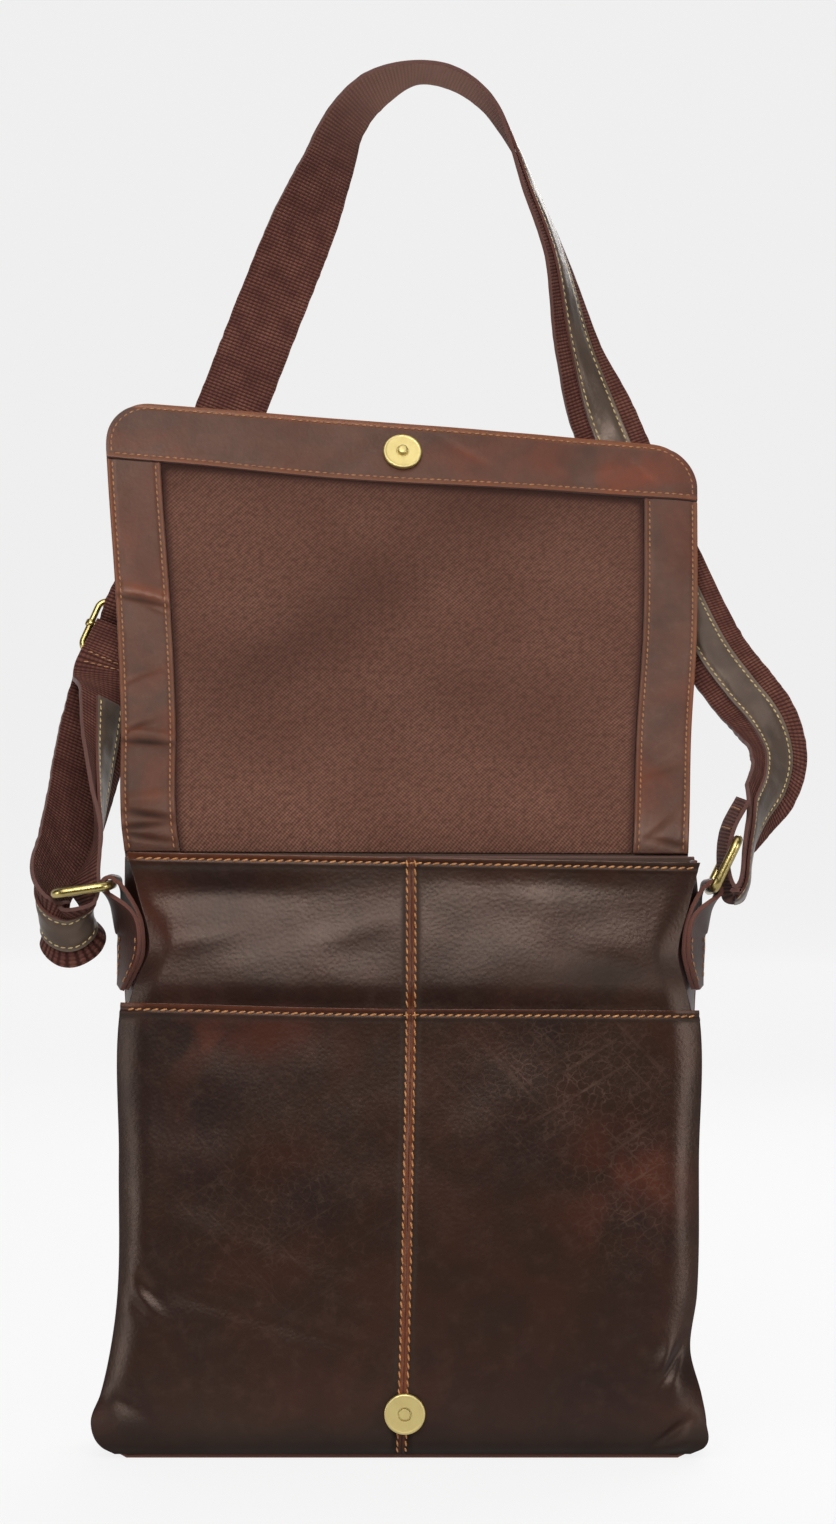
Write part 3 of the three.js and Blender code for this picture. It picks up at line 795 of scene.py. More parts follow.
@dataclass
class Finishes:
    """Every finish of the bag, made once."""

    # Front, pocket, back and flap: nearly black brown that shines where light grazes it
    grain: Material = made(Leather(
        "waxed_cowhide_dark", "#271710", "#120607", "#522618", "#643017", "#523e34", 0.34,
        warm_amount=0.1, specular=0.3,
    ))
    # Gusset and tabs: the same hide with less wax, so it looks flatter
    side: Material = made(Leather(
        "waxed_cowhide_matt", "#331e18", "#1d1110", "#431a10", "#5a2c18", "#4c382f", 0.5,
        specular=0.2,
    ))
    # Facings and band inside the flap: redder and lighter, with close clouds
    flap: Material = made(Leather(
        "waxed_cowhide_brown", "#4d332a", "#33211b", "#662f1d", "#76401f", "#6f5447", 0.37,
        patch_mm=34, warm_amount=0.38, specular=0.33,
    ))
    # Strip on the strap: grey brown and smooth
    strap: Material = made(Leather(
        "split_cowhide_grey_brown", "#4a3e36", "#302722", "#54443a", "#675b4e", "#6f6458", 0.38,
        patch_mm=14, warm_amount=0.15, specular=0.36,
    ))
    # Matt red-brown lines round every cut edge, and the dull back of the hides
    edge: Material = made(Fibre("cut_leather_edge", "#5f3021", "#3f2018"))
    flesh: Material = made(Fibre("leather_flesh_side", "#4f382d", "#3d2a22", 1.4))
    # Cloth: dull brown ribs
    twill: Material = made(Twill())
    webbing: Material = made(WovenStrap())
    selvedge: Material = made(Fibre("cotton_webbing_selvedge", "#5b352b", "#3a2019", 0.7))
    # Thread: orange on the dark leather, tan on the flap, gold on the strap
    orange_thread: Material = made(Thread("waxed_thread_orange", "#ad7640", "#825126"))
    brown_thread: Material = made(Thread("waxed_thread_tan", "#9c6b40", "#724829"))
    gold_thread: Material = made(Thread("waxed_thread_gold", "#bfa874", "#937d50"))
    # Metal: dark spotted wire, and pale even discs
    antique: Material = made(Brass("antique_brass", "#ac9a63", "#5c4a28", 0.3, 0.5))
    pale: Material = made(Brass("satin_brass", "#c5b47b", "#ac965f", 0.5, 0.3))

    def hide(self, face: Material) -> tuple[Material, ...]:
        """Finishes of a leather sheet: its face, its cut edges and its flesh side."""
        return (face, self.edge, self.flesh)


# The body


def crowd(q: Array, amount: float, waves: float) -> Array:
    """Evens out 0 to 1 into steps that lie closer at both ends, and with two waves in the middle too."""
    turn = 2 * math.pi * waves
    return q - amount * np.sin(turn * q) / turn


@dataclass
class Body:
    """The bag itself: front, pocket, gusset and back."""

    finishes: Finishes
    top: float = 263.0
    pocket_top: float = 196.0
    pocket_foot: float = 1.7
    foot: float = 0.6
    cut_width: float = 260.0
    inset: float = 1.6
    slack: float = 2.0
    edge_rise: float = 2.0
    top_tilt: float = 2.4
    foot_crowding: float = 1.35
    curl_share: float = 0.11
    corner_bulge: float = 2.5
    bulge_up: float = 18.0
    bulge_spread: float = 22.0
    gusset_top: float = 261.5
    gusset_inset: float = 0.6
    gusset_cut: tuple[float, float] = (760.0, 74.0)
    gusset_side_share: float = 0.42
    side_fold: float = 2.4
    side_top: float = 198.0
    seam_turn: float = 0.88
    seam_bite: float = 0.1
    seam_fade: float = 0.09
    foot_fade: float = 9.0
    foot_roll: float = 2.6
    foot_roll_height: float = 11.0
    back_seam_fade: float = 0.12
    back_foot_fade: float = 12.0
    lap_foot: float = 236.0
    lap_fade: float = 30.0
    hem: float = 2.6
    seam_half: float = 1.75
    panel_seam_wear: float = 0.55
    pocket_seam_wear: float = 0.85
    socket_x: float = -2.8
    socket_up: float = 20.8
    stitch_points: int = 400
    levels: Table = field(init=False)
    seam: Table = field(init=False)
    swells: Swells = (Swell(0.8, 62, 3.1), Swell(0.6, 24, 7.7))
    back_swells: Swells = (Swell(1.3, 70, 11.3), Swell(0.5, 26, 5.9))
    side_swells: Swells = (Swell(0.72, 22, 1.2), Swell(0.72, 22, 3.2))
    folds: Folds = (
        Fold(-64, 212, 58, 19, 3, 2.1),
        Fold(-84, 248, 46, 8, 1, -1.7),
        Fold(-96, 226, 24, 5, 10, 0.5),
        Fold(-26, 230, 22, 6, 16, 0.5),
        Fold(56, 216, 56, 22, -3, 3.0),
        Fold(60, 252, 58, 6, -2, -0.6),
        Fold(86, 216, 22, 6, -12, -0.7),
        Fold(-121, 79, 11, 3.4, -50, 1.3),
        Fold(-116, 74, 10, 3.4, -50, -2.0),
        Fold(-113, 67, 9, 3.8, -46, 0.9),
        Fold(-120, 66, 7, 3.0, -40, -1.0),
        Fold(116, 44, 12, 2.0, 58, -2.0),
        Fold(111, 44, 12, 3.4, 62, 1.3),
        Fold(116, 33, 14, 7.0, 60, 1.2),
        Fold(113, 11, 15, 2.4, 38, -2.4),
        Fold(118, 6, 14, 4.0, 35, 1.4),
        Fold(-127, 26, 14, 4.5, -30, -1.2),
        Fold(-130, 12, 10, 6.0, 10, 1.0),
        Fold(-112, 7, 18, 3.6, -8, -1.0),
        Fold(-70, 64, 60, 5.0, -16, -0.7),
        Fold(-52, 84, 52, 6.0, -22, 0.6),
        Fold(-60, 5, 40, 4.0, 0, -0.8),
        Fold(60, 40, 40, 14.0, 10, 0.8),
    )
    back_folds: Folds = (
        Fold(110, 62, 16, 4.0, 50, 1.4),
        Fold(104, 54, 16, 4.0, 50, -1.4),
        Fold(-112, 46, 14, 4.0, -55, 1.3),
        Fold(-106, 41, 14, 4.0, -55, -1.3),
        Fold(-36, 152, 84, 17, 12, 2.0),
        Fold(32, 92, 84, 15, -10, -1.5),
        Fold(0, 206, 92, 13, 2, 1.7),
    )
    # Strength, middle and half-width across, middle and half-width up
    warm_spots: Rows = (
        (1, -95, 34, 184, 13),
        (0.45, -62, 30, 186, 8),
        (0.85, 97, 27, 125, 20),
        (0.15, 70, 40, 100, 14),
        (0.45, -20, 24, 26, 16),
        (0.4, 122, 12, 16, 12),
        (0.4, -128, 12, 14, 10),
        (0.6, -112, 14, 238, 18),
        (0.6, 92, 26, 206, 7),
    )
    scuffed_spots: Rows = ((0.95, 62, 46, 168, 28), (0.8, 96, 26, 120, 36), (0.45, -62, 60, 120, 60))
    # A spot of painted shade on the front panel, just above the pocket.
    shaded_spots: Rows = ((0.5, 84, 34, 211, 9),)
    back_warm_spots: Rows = ((1, 66, 40, 150, 30), (0.8, -84, 34, 62, 28), (0.6, -20, 60, 214, 18))
    back_scuffed_spots: Rows = ((0.7, -34, 60, 122, 56), (0.5, 80, 34, 70, 34))

    def __post_init__(self) -> None:
        """Sets the body's levels and the middle seam's line."""
        self.levels = Table("up left right back_left back_right front back belly slump curl", (
            (0, -127, 119, -126, 118, -37, 37, 0.4, 0.4, 0),
            (5, -135, 128, -134, 127, -39.2, 39.2, 1, 1, 1.5),
            (15, -139.3, 128.3, -138, 128, -40, 40, 2, 2, 4),
            (27, -135, 126, -135, 126, -39.8, 39.6, 3, 3, 6),
            (47, -130.5, 121, -131, 123, -39, 38, 4, 4, 6),
            (72, -127.4, 124, -128, 125, -37.8, 35.5, 5, 5, 6),
            (130, -127, 125, -127, 126, -34.5, 29, 5, 6, 6),
            (196, -126.5, 125.3, -128, 127, -29.5, 17.5, 4, 4, 4),
            (206, -123.5, 122.6, -128.5, 127.5, -28.4, 15.4, 4, 4, 3),
            (222, -117, 119.3, -129, 128, -26.6, 12, 3, 3, 3),
            (245, -122, 124.5, -128, 128, -24.2, 7, 2.4, 1.5, 2.5),
            (263, -127, 129, -127.5, 126, -22.6, 3, 2, 0.6, 1.5),
        ))
        self.seam = Table("up x", ((0, -4.4), (60, -2.6), (130, -1.2), (196, -0.1), (263, 0.0)))

    def curl(self, s: Array, amount: Array) -> Array:
        """How far a panel bends towards the gusset, from none inside to its full curl at the side seam."""
        return amount * np.maximum(0, (np.abs(s) - 1 + self.curl_share) / self.curl_share) ** 2

    def front(self, s: Array, up: Array, grow: float) -> Array:
        """Smooth outer face of the front.

        Args:
            s: Share across, from -1 at the left to 1 at the right.
            up: Height.
            grow: How much wider than the levels it is, on each side.

        Returns:
            Points.
        """
        row = self.levels.at(up)
        x = lerp(row["left"] - grow, row["right"] + grow, (s + 1) / 2)
        y = row["front"] - row["belly"] * (1 - s * s) + self.curl(s, row["curl"])
        return stack(x, y, up - self.top_tilt * s * (up / self.top) ** 4)

    def panel(self, s: Array, up: Array) -> Array:
        """Smooth outer face of the front panel, inside the pocket's edges."""
        return self.front(s, up, -self.inset)

    def under_pocket(self, s: Array, up: Array) -> Array:
        """The smooth face that the pocket lies on."""
        return self.front(s, up, 0)

    def pocket(self, s: Array, up: Array) -> Array:
        """Smooth outer face of the pocket: it lies on the front and hangs slack at its open edge."""
        share = np.clip((up - self.pocket_foot) / (self.pocket_top - self.pocket_foot), 0, 1)
        lift = GAP + LEATHER + self.slack * share ** (1 / self.foot_crowding) * (1 - s * s)
        points = self.under_pocket(s, up) + facing(self.under_pocket, s, up) * lift[..., None]
        points[..., 2] += (self.edge_rise * bell((s + 1) / 0.5) + 0.3) * share**6
        return points

    def swell(self, points: Array, s: Array) -> Array:
        """How far the front's leather swells out or sinks in, fading out at its side seams and foot."""
        x, z = points[..., 0], points[..., 2]
        soft = sum(swell.at(x, z) for swell in self.swells) + folded(self.folds, points)
        held = ease((1 - np.abs(s)) / self.seam_fade) * ease(z / self.foot_fade)
        return soft * held - self.foot_roll * (1 - ease(z / self.foot_roll_height)) ** 2

    def off_seam(self, points: Array) -> Array:
        """Distance from the middle seam."""
        return np.abs(points[..., 0] - self.seam.at(points[..., 2])["x"])

    def ridge(self, points: Array) -> Array:
        """Height of the middle seam: two rolls with a groove between them, sunk at both stitch rows."""
        off = self.off_seam(points)
        return 0.65 * bell((off - 0.8) / 0.6) - 0.35 * bell((off - self.seam_half - 0.3) / 0.7)

    def hemline(self, below: Array) -> Array:
        """Height of a turned edge, by the distance below it: a soft roll with a groove at its stitch row."""
        return 0.3 * (1 - ease((below - 3.2) / 2.4)) - 0.4 * bell((below - self.hem) / 0.8)

    def front_leather(self, s: Array, up: Array) -> Array:
        """Outer face of the front panel, with its folds, seam and hem."""
        flat = self.panel(s, up)
        shown = ease((up - self.pocket_top - 1) / 10)
        lift = self.swell(flat, s) * lerp(0.6, 1.0, shown) - 0.5 * (1 - shown)
        lift = lift + shown * (self.ridge(flat) + self.hemline(self.top - up))
        return flat + facing(self.panel, s, up) * lift[..., None]

    def pocket_leather(self, s: Array, up: Array) -> Array:
        """Outer face of the pocket, with its folds, seam and hem."""
        flat = self.pocket(s, up)
        lift = self.swell(flat, s) + self.ridge(flat) + self.hemline(self.pocket_top - up)
        return flat + facing(self.pocket, s, up) * lift[..., None]

    def back_leather(self, s: Array, up: Array) -> Array:
        """Outer face of the back panel."""
        row = self.levels.at(up)
        x = lerp(row["back_right"], row["back_left"], (s + 1) / 2)
        y = row["back"] + row["slump"] * (1 - s * s) - self.curl(s, row["curl"])
        points = stack(x, y, up)
        held = ease((1 - np.abs(s)) / self.back_seam_fade) * ease(up / self.back_foot_fade)
        held = held * ease((self.lap_foot - up) / self.lap_fade)
        soft = sum(swell.at(x, up) for swell in self.back_swells) + folded(self.back_folds, points)
        points[..., 1] += soft * held
        return points

    def gusset_side(self, side: int, up: Array, s: Array) -> Array:
        """Outer face of one side of the gusset.

        Args:
            side: -1 for the left side and 1 for the right.
            up: Height.
            s: Share across, from 0 at the front panel to 1 at the back panel.

        Returns:
            Points.
        """
        row = self.levels.at(up)
        near, far = ("left", "back_left") if side < 0 else ("right", "back_right")
        front_edge = row[near] - side * (self.inset + self.gusset_inset)
        back_edge = row[far] - side * self.gusset_inset
        bulge = side * self.corner_bulge * 4 * s * (1 - s) * bell((up - self.bulge_up) / self.bulge_spread)
        seam = LEATHER + self.seam_turn * row["curl"] - self.seam_bite
        y = lerp(row["front"] + seam, row["back"] - seam, s)
        inner = ease((up - 30) / 40) * ease((self.side_top - up) / 40) * bell((s - 0.5) / 0.22)
        held = np.sin(np.pi * np.clip(s, 0, 1)) * ease((self.side_top - up) / 30) * ease(up / 20)
        soft = self.side_swells[side > 0].at(y, up) * held
        x = lerp(front_edge, back_edge, s) + bulge - side * (self.side_fold * inner - soft)
        return stack(x, y, up)

    def gusset_leather(self, u: Array, v: Array) -> Array:
        """Outer face of the gusset: u runs down the right side, under the base and up the left side."""
        side_share = self.gusset_side_share
        from_end = np.minimum(u, 1 - u)
        height = 1 - np.minimum(1, from_end / side_share)
        up = self.gusset_top * lerp(height, (1 - np.cos(np.pi * height)) / 2, 0.5)
        sides = np.where((u < 0.5)[:, None], self.gusset_side(1, up, v), self.gusset_side(-1, up, v))
        ends = [self.gusset_side(side, np.zeros_like(v), v) for side in (1, -1)]
        base = lerp(ends[0], ends[1], np.clip((u - side_share) / (1 - 2 * side_share), 0, 1)[:, None])
        return np.where((from_end < side_share)[:, None], sides, base)

    def marks(self, points: Array, edge: float, seam_wear: float) -> Marks:
        """Colour marks of the front leather.

        Args:
            points: Points of the leather.
            edge: Height of the open edge.
            seam_wear: How tan the middle seam is.

        Returns:
            Wear along the seam and the open edge, warm patches, pull-up lines and painted shade at the foot,
            under the rolled hem and beside the middle seam.
        """
        x, z = points[..., 0], points[..., 2]
        off = self.off_seam(points)
        seam = seam_wear * (1 - ease((off - 1.2) / 0.9)) * (1 - 0.85 * bell(off / 0.35))
        top = 0.3 * (1 - ease((edge - z - 0.3) / 1.2)) + 0.05 * (1 - ease((edge - z - 2.0) / 1.6))
        # Painted shade: darker at the foot, under the rolled hem and beside the middle seam.
        soil = 0.95 * bell(z / 15) + 0.4 * bell((edge - z - 4.4) / 1.4) + 0.45 * bell((off - 3.2) / 1.2)
        return Marks(
            wear=np.maximum(seam, top),
            blush=0.55 * spots(self.warm_spots, x, z),
            scuff=spots(self.scuffed_spots, x, z),
            soil=soil + spots(self.shaded_spots, x, z),
        )

    def front_marks(self, s: Array, up: Array) -> Marks:
        """Marks of the front panel."""
        return self.marks(self.panel(s, up), self.top, self.panel_seam_wear)

    def pocket_marks(self, s: Array, up: Array) -> Marks:
        """Marks of the pocket."""
        return self.marks(self.under_pocket(s, up), self.pocket_top, self.pocket_seam_wear)

    def back_marks(self, s: Array, up: Array) -> Marks:
        """Marks of the back panel: rubbed edges, warm patches, pull-up lines and painted shade at the foot.
        """
        x = self.back_leather(s, up)[..., 0]
        return Marks(
            wear=0.35 * (1 - ease((1 - np.abs(s)) / 0.02)),
            blush=0.5 * spots(self.back_warm_spots, x, up),
            scuff=spots(self.back_scuffed_spots, x, up),
            # Painted shade along the foot.
            soil=0.9 * bell(up / 14),
        )

    def grid(self, u: Array, v: Array, foot: float, top: float) -> Pair:
        """Shares across and heights of a front panel's grid, closer together at its edges and middle seam."""
        return 2 * crowd(u, 0.62, 2) - 1, lerp(foot, top, crowd(v, 0.6, 1))

    def front_grid(self, u: Array, v: Array) -> Pair:
        """Grid of the front panel."""
        return self.grid(u, v, self.foot, self.top)

    def pocket_grid(self, u: Array, v: Array) -> Pair:
        """Grid of the pocket."""
        return self.grid(u, v, self.pocket_foot, self.pocket_top)

    def back_grid(self, u: Array, v: Array) -> Pair:
        """Grid of the back panel, closer together at its edges."""
        return 2 * crowd(u, 0.5, 1) - 1, lerp(self.foot, self.top, crowd(v, 0.5, 1))

    def sheet(self, name: str, cells: tuple[int, int], grid: Shape, face: Surface, mark: Callable) -> Sheet:
        """One leather panel.

        Args:
            name: Name of the piece.
            cells: Cells across and along.
            grid: Shares across and heights of the grid points.
            face: Outer face by share and height.
            mark: Colour marks by share and height.

        Returns:
            The sheet.
        """
        def shape(u: Array, v: Array) -> Pair:
            """Points of the panel."""
            s, up = grid(u, v)
            return face(s, up), stack(s * self.cut_width / 2, up)

        return Sheet(name, cells, shape, lambda u, v: mark(*grid(u, v)))

    def gusset(self, u: Array, v: Array) -> Pair:
        """Points of the gusset strip."""
        return self.gusset_leather(u, v), stack(u, v) * self.gusset_cut

    def build(self) -> None:
        """Makes the panels and their stitches."""
        sheets = {
            "front_panel": self.sheet(
                "front_panel_leather", (200, 200), self.front_grid, self.front_leather, self.front_marks),
            "front_pocket": self.sheet(
                "front_pocket_leather", (220, 200), self.pocket_grid, self.pocket_leather, self.pocket_marks),
            "back_panel": self.sheet(
                "back_panel_leather", (160, 160), self.back_grid, self.back_leather, self.back_marks),
        }
        for node, sheet in sheets.items():
            dress(sheet.build(), Slot.DARK_LEATHER, self.finishes.hide(self.finishes.grain), node)
        strip = Sheet("gusset_leather", (300, 40), self.gusset).build()
        dress(strip, Slot.DARK_LEATHER, self.finishes.hide(self.finishes.side), "gusset")
        dress(sew("front_stitches", self.stitches()), Slot.THREAD, (self.finishes.orange_thread,))

    def stitches(self) -> Seams:
        """Rows below the two open edges and along both sides of the middle seam."""
        n = self.stitch_points
        across = np.linspace(-0.975, 0.985, n)
        lines = [
            (self.front_leather, across, np.full(n, self.top - self.hem)),
            (self.pocket_leather, across, np.full(n, self.pocket_top - self.hem)),
        ]
        for leather, low, high, grow in (
            (self.front_leather, self.pocket_top + 0.8, self.top - 0.8, -self.inset),
            (self.pocket_leather, self.pocket_foot + 1, self.pocket_top - 0.8, 0.0),
        ):
            up = np.linspace(low, high, n)
            for side in (-1, 1):
                x = self.seam.at(up)["x"] + side * self.seam_half
                lines.append((leather, self.share_at(x, up, grow), up))
        return [BODY_STITCH.row(face(s, up), facing(face, s, up, 2e-3, 0.3)) for face, s, up in lines]

    def share_at(self, x: Array | float, up: Array, grow: float = 0.0) -> Array:
        """Share across the front at a place across it."""
        level = self.levels.at(up)
        left, right = level["left"] - grow, level["right"] + grow
        return 2 * (x - left) / (right - left) - 1

    def socket_place(self) -> Pair:
        """Where the snap's socket stands on the pocket, and the way it faces."""
        up = np.array([self.socket_up])
        s = self.share_at(self.socket_x, up)
        out = facing(self.pocket, s, up)[0]
        return self.pocket_leather(s, up)[0] + out * SNAP_GAP, out


# The flap


@dataclass
class Flap:
    """The raised flap: leather, lining, side facings and end band."""

    finishes: Finishes
    length: float = 246.0
    corner: float = 22.0
    half_cut: float = 130.0
    facing_width: float = 24.5
    band_foot: float = 0.885
    band_sag: float = 0.009
    band_stitch: float = 2.2
    foot: float = 0.072
    band_clearance: float = 0.003
    swell_height: float = 1.6
    swell_across: float = 2.2
    swell_along: float = 5.0
    swell_fade: float = 1.08
    swells: Swells = (Swell(1.1, 75, 21.7), Swell(0.35, 27, 4.4))
    still_foot: float = 0.1
    foot_fade: float = 0.12
    edge_fade: float = 0.08
    stitch_in: float = 2.3
    stitch_points: int = 400
    lining_size: tuple[float, float] = (205.0, 199.0)
    lining_ease: float = 1.02
    lining_widest: float = 0.84
    stud_along: float = 0.938
    rows: Table = field(init=False)
    left_creases: Folds = (
        Fold(-122, 378, 16, 1.5, -12, -1.1),
        Fold(-122, 382, 15, 2.2, -12, 0.7),
        Fold(-116, 373, 9, 1.2, -24, -0.5),
        Fold(-121, 343, 12, 1.3, 20, -0.4),
        Fold(-120, 317, 15, 1.8, -6, 0.9),
        Fold(-119, 313, 14, 1.6, -4, -0.9),
        Fold(-124, 320, 9, 1.4, 20, -0.6),
        Fold(-120, 288, 14, 2.6, 6, 0.8),
        Fold(-117, 281, 12, 1.6, -8, -0.8),
        Fold(-121, 276, 13, 1.4, 5, -0.7),
        Fold(-118, 271, 12, 1.4, -9, -0.6),
    )
    right_creases: Folds = (
        Fold(114, 300, 12, 2.2, 18, -0.4),
        Fold(112, 276, 9, 1.6, 40, -0.5),
        Fold(116, 268, 10, 1.6, -14, -0.5),
    )
    band_creases: Folds = (
        Fold(-18, 447, 14, 1.3, 17, -0.5),
        Fold(-26, 452, 16, 3.0, 25, 0.4),
        Fold(24, 448, 18, 2.0, -30, -0.35),
        Fold(92, 440, 12, 3.0, 12, -0.35),
        Fold(108, 438, 10, 1.6, -40, -0.4),
    )
    # Broad soft bands of painted shade on the lining.
    lining_shades: Folds = (
        Fold(-32, 374, 62, 18, 34, 0.32),
        Fold(-70, 348, 28, 15, 20, 0.16),
        Fold(36, 418, 42, 13, -10, 0.12),
        Fold(24, 336, 44, 11, 12, 0.12),
    )
    lining_creases: Folds = (
        Fold(-30, 373, 62, 14, 36, 1.5),
        Fold(-25, 322, 55, 2.6, -2, 0.5),
        Fold(-40, 315, 50, 2.4, 3, -0.25),
        Fold(20, 300, 60, 4, 6, 0.45),
        Fold(72, 345, 38, 1.8, 90, 0.35),
        Fold(60, 392, 40, 12, -30, 0.9),
    )
    # Strength, middle and half-width across, middle and half-width up
    band_warm_spots: Rows = ((0.3, -120, 16, 456, 10), (0.6, 92, 34, 438, 14))
    outer_warm_spots: Rows = ((1, 0.5, 0.35, 0.72, 0.16), (0.8, -0.55, 0.3, 0.4, 0.15))
    outer_scuffed_spots: Rows = ((0.6, -0.1, 0.6, 0.62, 0.3),)

    def __post_init__(self) -> None:
        """Sets the flap's rows, from its lap on the back panel to its free end."""
        self.rows = Table("along left_x right_x left_y right_y left_z right_z", (
            (0, -126, 122.5, 8.6, 8.6, 247, 247),
            (0.065, -127.5, 123.3, 4.4, 4.4, 263.5, 262.5),
            (0.13, -129.4, 124, 6.5, 7, 279, 277),
            (0.33, -130.8, 126.2, 30, 35, 323, 317),
            (0.57, -134.6, 130.4, 61, 69, 376, 363),
            (0.84, -140, 132.4, 91, 104, 435, 416),
            (1, -143, 133, 108, 125, 472, 450.5),
        ))

    def face(self, s: Array, along: Array) -> Array:
        """Inner face of the flap's leather, s from -1 at its left edge to 1 at its right."""
        row = self.rows.at(along)
        x, y, z = (lerp(row[f"left_{axis}"], row[f"right_{axis}"], (s + 1) / 2) for axis in "xyz")
        fade = np.sin(np.pi * np.minimum(1, self.swell_fade * along)) ** 2
        wave = np.sin(self.swell_across * s + self.swell_along * along) * fade
        return stack(x, y + self.swell_height * wave, z)

    def out(self, s: Array, along: Array) -> Array:
        """The way that the inner face looks."""
        return facing(self.face, s, along, 2e-3, 2e-3)

    def lifted(self, s: Array, along: Array, lift: Array | float) -> Array:
        """Points above the inner face of the leather, with the soft swells that all its layers share."""
        base = self.face(s, along)
        x, z = base[..., 0], base[..., 2]
        soft = sum(swell.at(x, z) for swell in self.swells)
        held = ease((along - self.still_foot) / self.foot_fade) * ease((1 - np.abs(s)) / self.edge_fade)
        return base + self.out(s, along) * (soft * held + lift)[..., None]

    def width_at(self, along: Array) -> Array:
        """Width of the flap between its side edges."""
        row = self.rows.at(along)
        return row["right_x"] - row["left_x"]

    def half_share(self, along: Array) -> Array:
        """Share of the flap's half-width that is left where its corners are round."""
        into = np.maximum(0, self.corner - (1 - along) * self.length)
        lost = self.corner - np.sqrt(np.maximum(0, self.corner**2 - into**2))
        return 1 - 2 * lost / self.width_at(along)

    def share_at(self, along: Array, inside: Array | float, left: bool = True) -> Array:
        """Share across at a distance from the left or the right edge, in millimetres."""
        width = self.width_at(along)
        return 2 * (inside if left else width - inside) / width - 1

    def between(self, v: Array) -> Array:
        """Place along the flap, from the foot of its lining to the band."""
        return lerp(self.foot, self.band_foot - self.band_clearance, v)

    def cut(self, s: Array, along: Array) -> Array:
        """Spot on the flat cut."""
        return stack(s * self.half_cut, along * self.length)

    def band_line(self, s: Array) -> Array:
        """Where the band's lower edge lies along the flap: it sags a little between the facings."""
        return self.band_foot - self.band_sag * (1 - s * s) * bell((s + 0.25) / 0.7)

    def fold_wear(self, points: Array, creases: Folds) -> Array:
        """How much the folds of a facing have rubbed warm."""
        return folded(creases, points, signed=False) * 0.75

    def facing_lift(self, points: Array, creases: Folds, inside: Array) -> Array:
        """Height of a side facing: its folds, and the grooves of the stitch rows at both of its edges."""
        deep = np.maximum(folded(creases, points), -0.9)
        from_rows = (inside - self.stitch_in, self.facing_width - inside - self.stitch_in)
        grooves = sum(bell(off / 0.7) for off in from_rows)
        return GAP + FACING + deep * ease(inside / 4) - 0.3 * grooves

    def side(self, name: str, left: bool) -> Sheet:
        """One side facing.

        Args:
            name: Name of the piece.
            left: Whether it is the left one.

        Returns:
            The sheet.
        """
        creases = self.left_creases if left else self.right_creases

        def spot(u: Array, v: Array) -> tuple[Array, Array, Array]:
            """Distance in from the outer edge, share across and place along."""
            inside = self.facing_width * (u if left else 1 - u)
            return inside, self.share_at(self.between(v), inside, left), self.between(v)

        def shape(u: Array, v: Array) -> Pair:
            """Points of the facing."""
            inside, s, along = spot(u, v)
            lift = self.facing_lift(self.face(s, along), creases, inside)
            return self.lifted(s, along, lift), stack(inside, along * self.length)

        def marks(u: Array, v: Array) -> Marks:
            """Marks of the facing: rubbed edges and folds, a warm foot, and painted shade in the crease
            valleys and at the foot.
            """
            inside, s, along = spot(u, v)
            points = self.face(s, along)
            outer = 0.6 * (1 - ease((inside - 0.6) / 1.6))
            inner = 0.3 * (1 - ease((self.facing_width - inside - 0.6) / 1.4))
            folds = self.fold_wear(points, creases)
            valley = np.clip(-folded(creases, points), 0, 1)
            low = 0.55 * ease((0.42 - along) / 0.1) if left else 0.2 * ease((0.3 - along) / 0.1)
            return Marks(
                wear=np.maximum(outer + inner, np.minimum(0.15, folds)),
                blush=folds + low,
                scuff=0.2 * bell((along - 0.3) / 0.4),
                # Painted shade in the crease valleys and over the lower part of the facing.
                soil=0.5 * low + 0.7 * valley,
            )

        return Sheet(name, (36, 300), shape, marks, FACING, round_mm=0.4)

    def outer(self) -> Sheet:
        """The outer leather, shaped by its hidden inner face."""
        def shape(u: Array, v: Array) -> Pair:
            """Points of the leather, closer together at its free end."""
            along = np.where(v < 0.9, v, 0.9 + 0.1 * np.sin((v - 0.9) / 0.1 * math.pi / 2))
            s = (2 * u - 1) * self.half_share(along)
            return self.lifted(s, along, 0.0), self.cut(s, along)

        def marks(u: Array, v: Array) -> Marks:
            """Marks of the leather: rubbed edges, warm patches and pull-up lines."""
            s = 2 * u - 1
            edge = 0.4 * (1 - ease((1 - np.abs(s)) / 0.025)) + 0.4 * ease((v - 0.985) / 0.015)
            warm = 0.5 * spots(self.outer_warm_spots, s, v)
            return Marks(wear=np.minimum(edge, 0.5), blush=warm, scuff=spots(self.outer_scuffed_spots, s, v))

        return Sheet("flap_outer_leather", (140, 170), shape, marks)

    def lining(self) -> Sheet:
        """The lining between the facings."""
        def shape(u: Array, v: Array) -> Pair:
            """Points of the lining."""
            along = self.between(v)
            width = self.width_at(along)
            from_left = lerp(self.facing_width + GAP, width - self.facing_width - GAP, u)
            s = self.share_at(along, from_left)
            held = ease(np.minimum(u, 1 - u) / 0.06) * ease(np.minimum(v, 1 - v) / 0.06)
            lift = GAP + LINING + folded(self.lining_creases, self.face(s, along)) * held
            cut = stack(from_left - width / 2, along * self.length)
            return self.lifted(s, along, lift), cut

        def marks(u: Array, v: Array) -> Marks:
            """Marks of the lining: painted shade in the corners along its facings and band, in broad diagonal
            bands and over its upper part.
            """
            side = np.minimum(u, 1 - u) * self.lining_size[0]
            end = (1 - v) * self.lining_size[1]
            points = shape(u, v)[0]
            corners = 0.75 * bell(side / 2.2) + 0.9 * bell(end / 3.4) + 0.25 * bell(end / 16)
            upper = 0.1 * ease((points[..., 2] - 285) / 40)
            return Marks(soil=corners + folded(self.lining_shades, points) + upper)

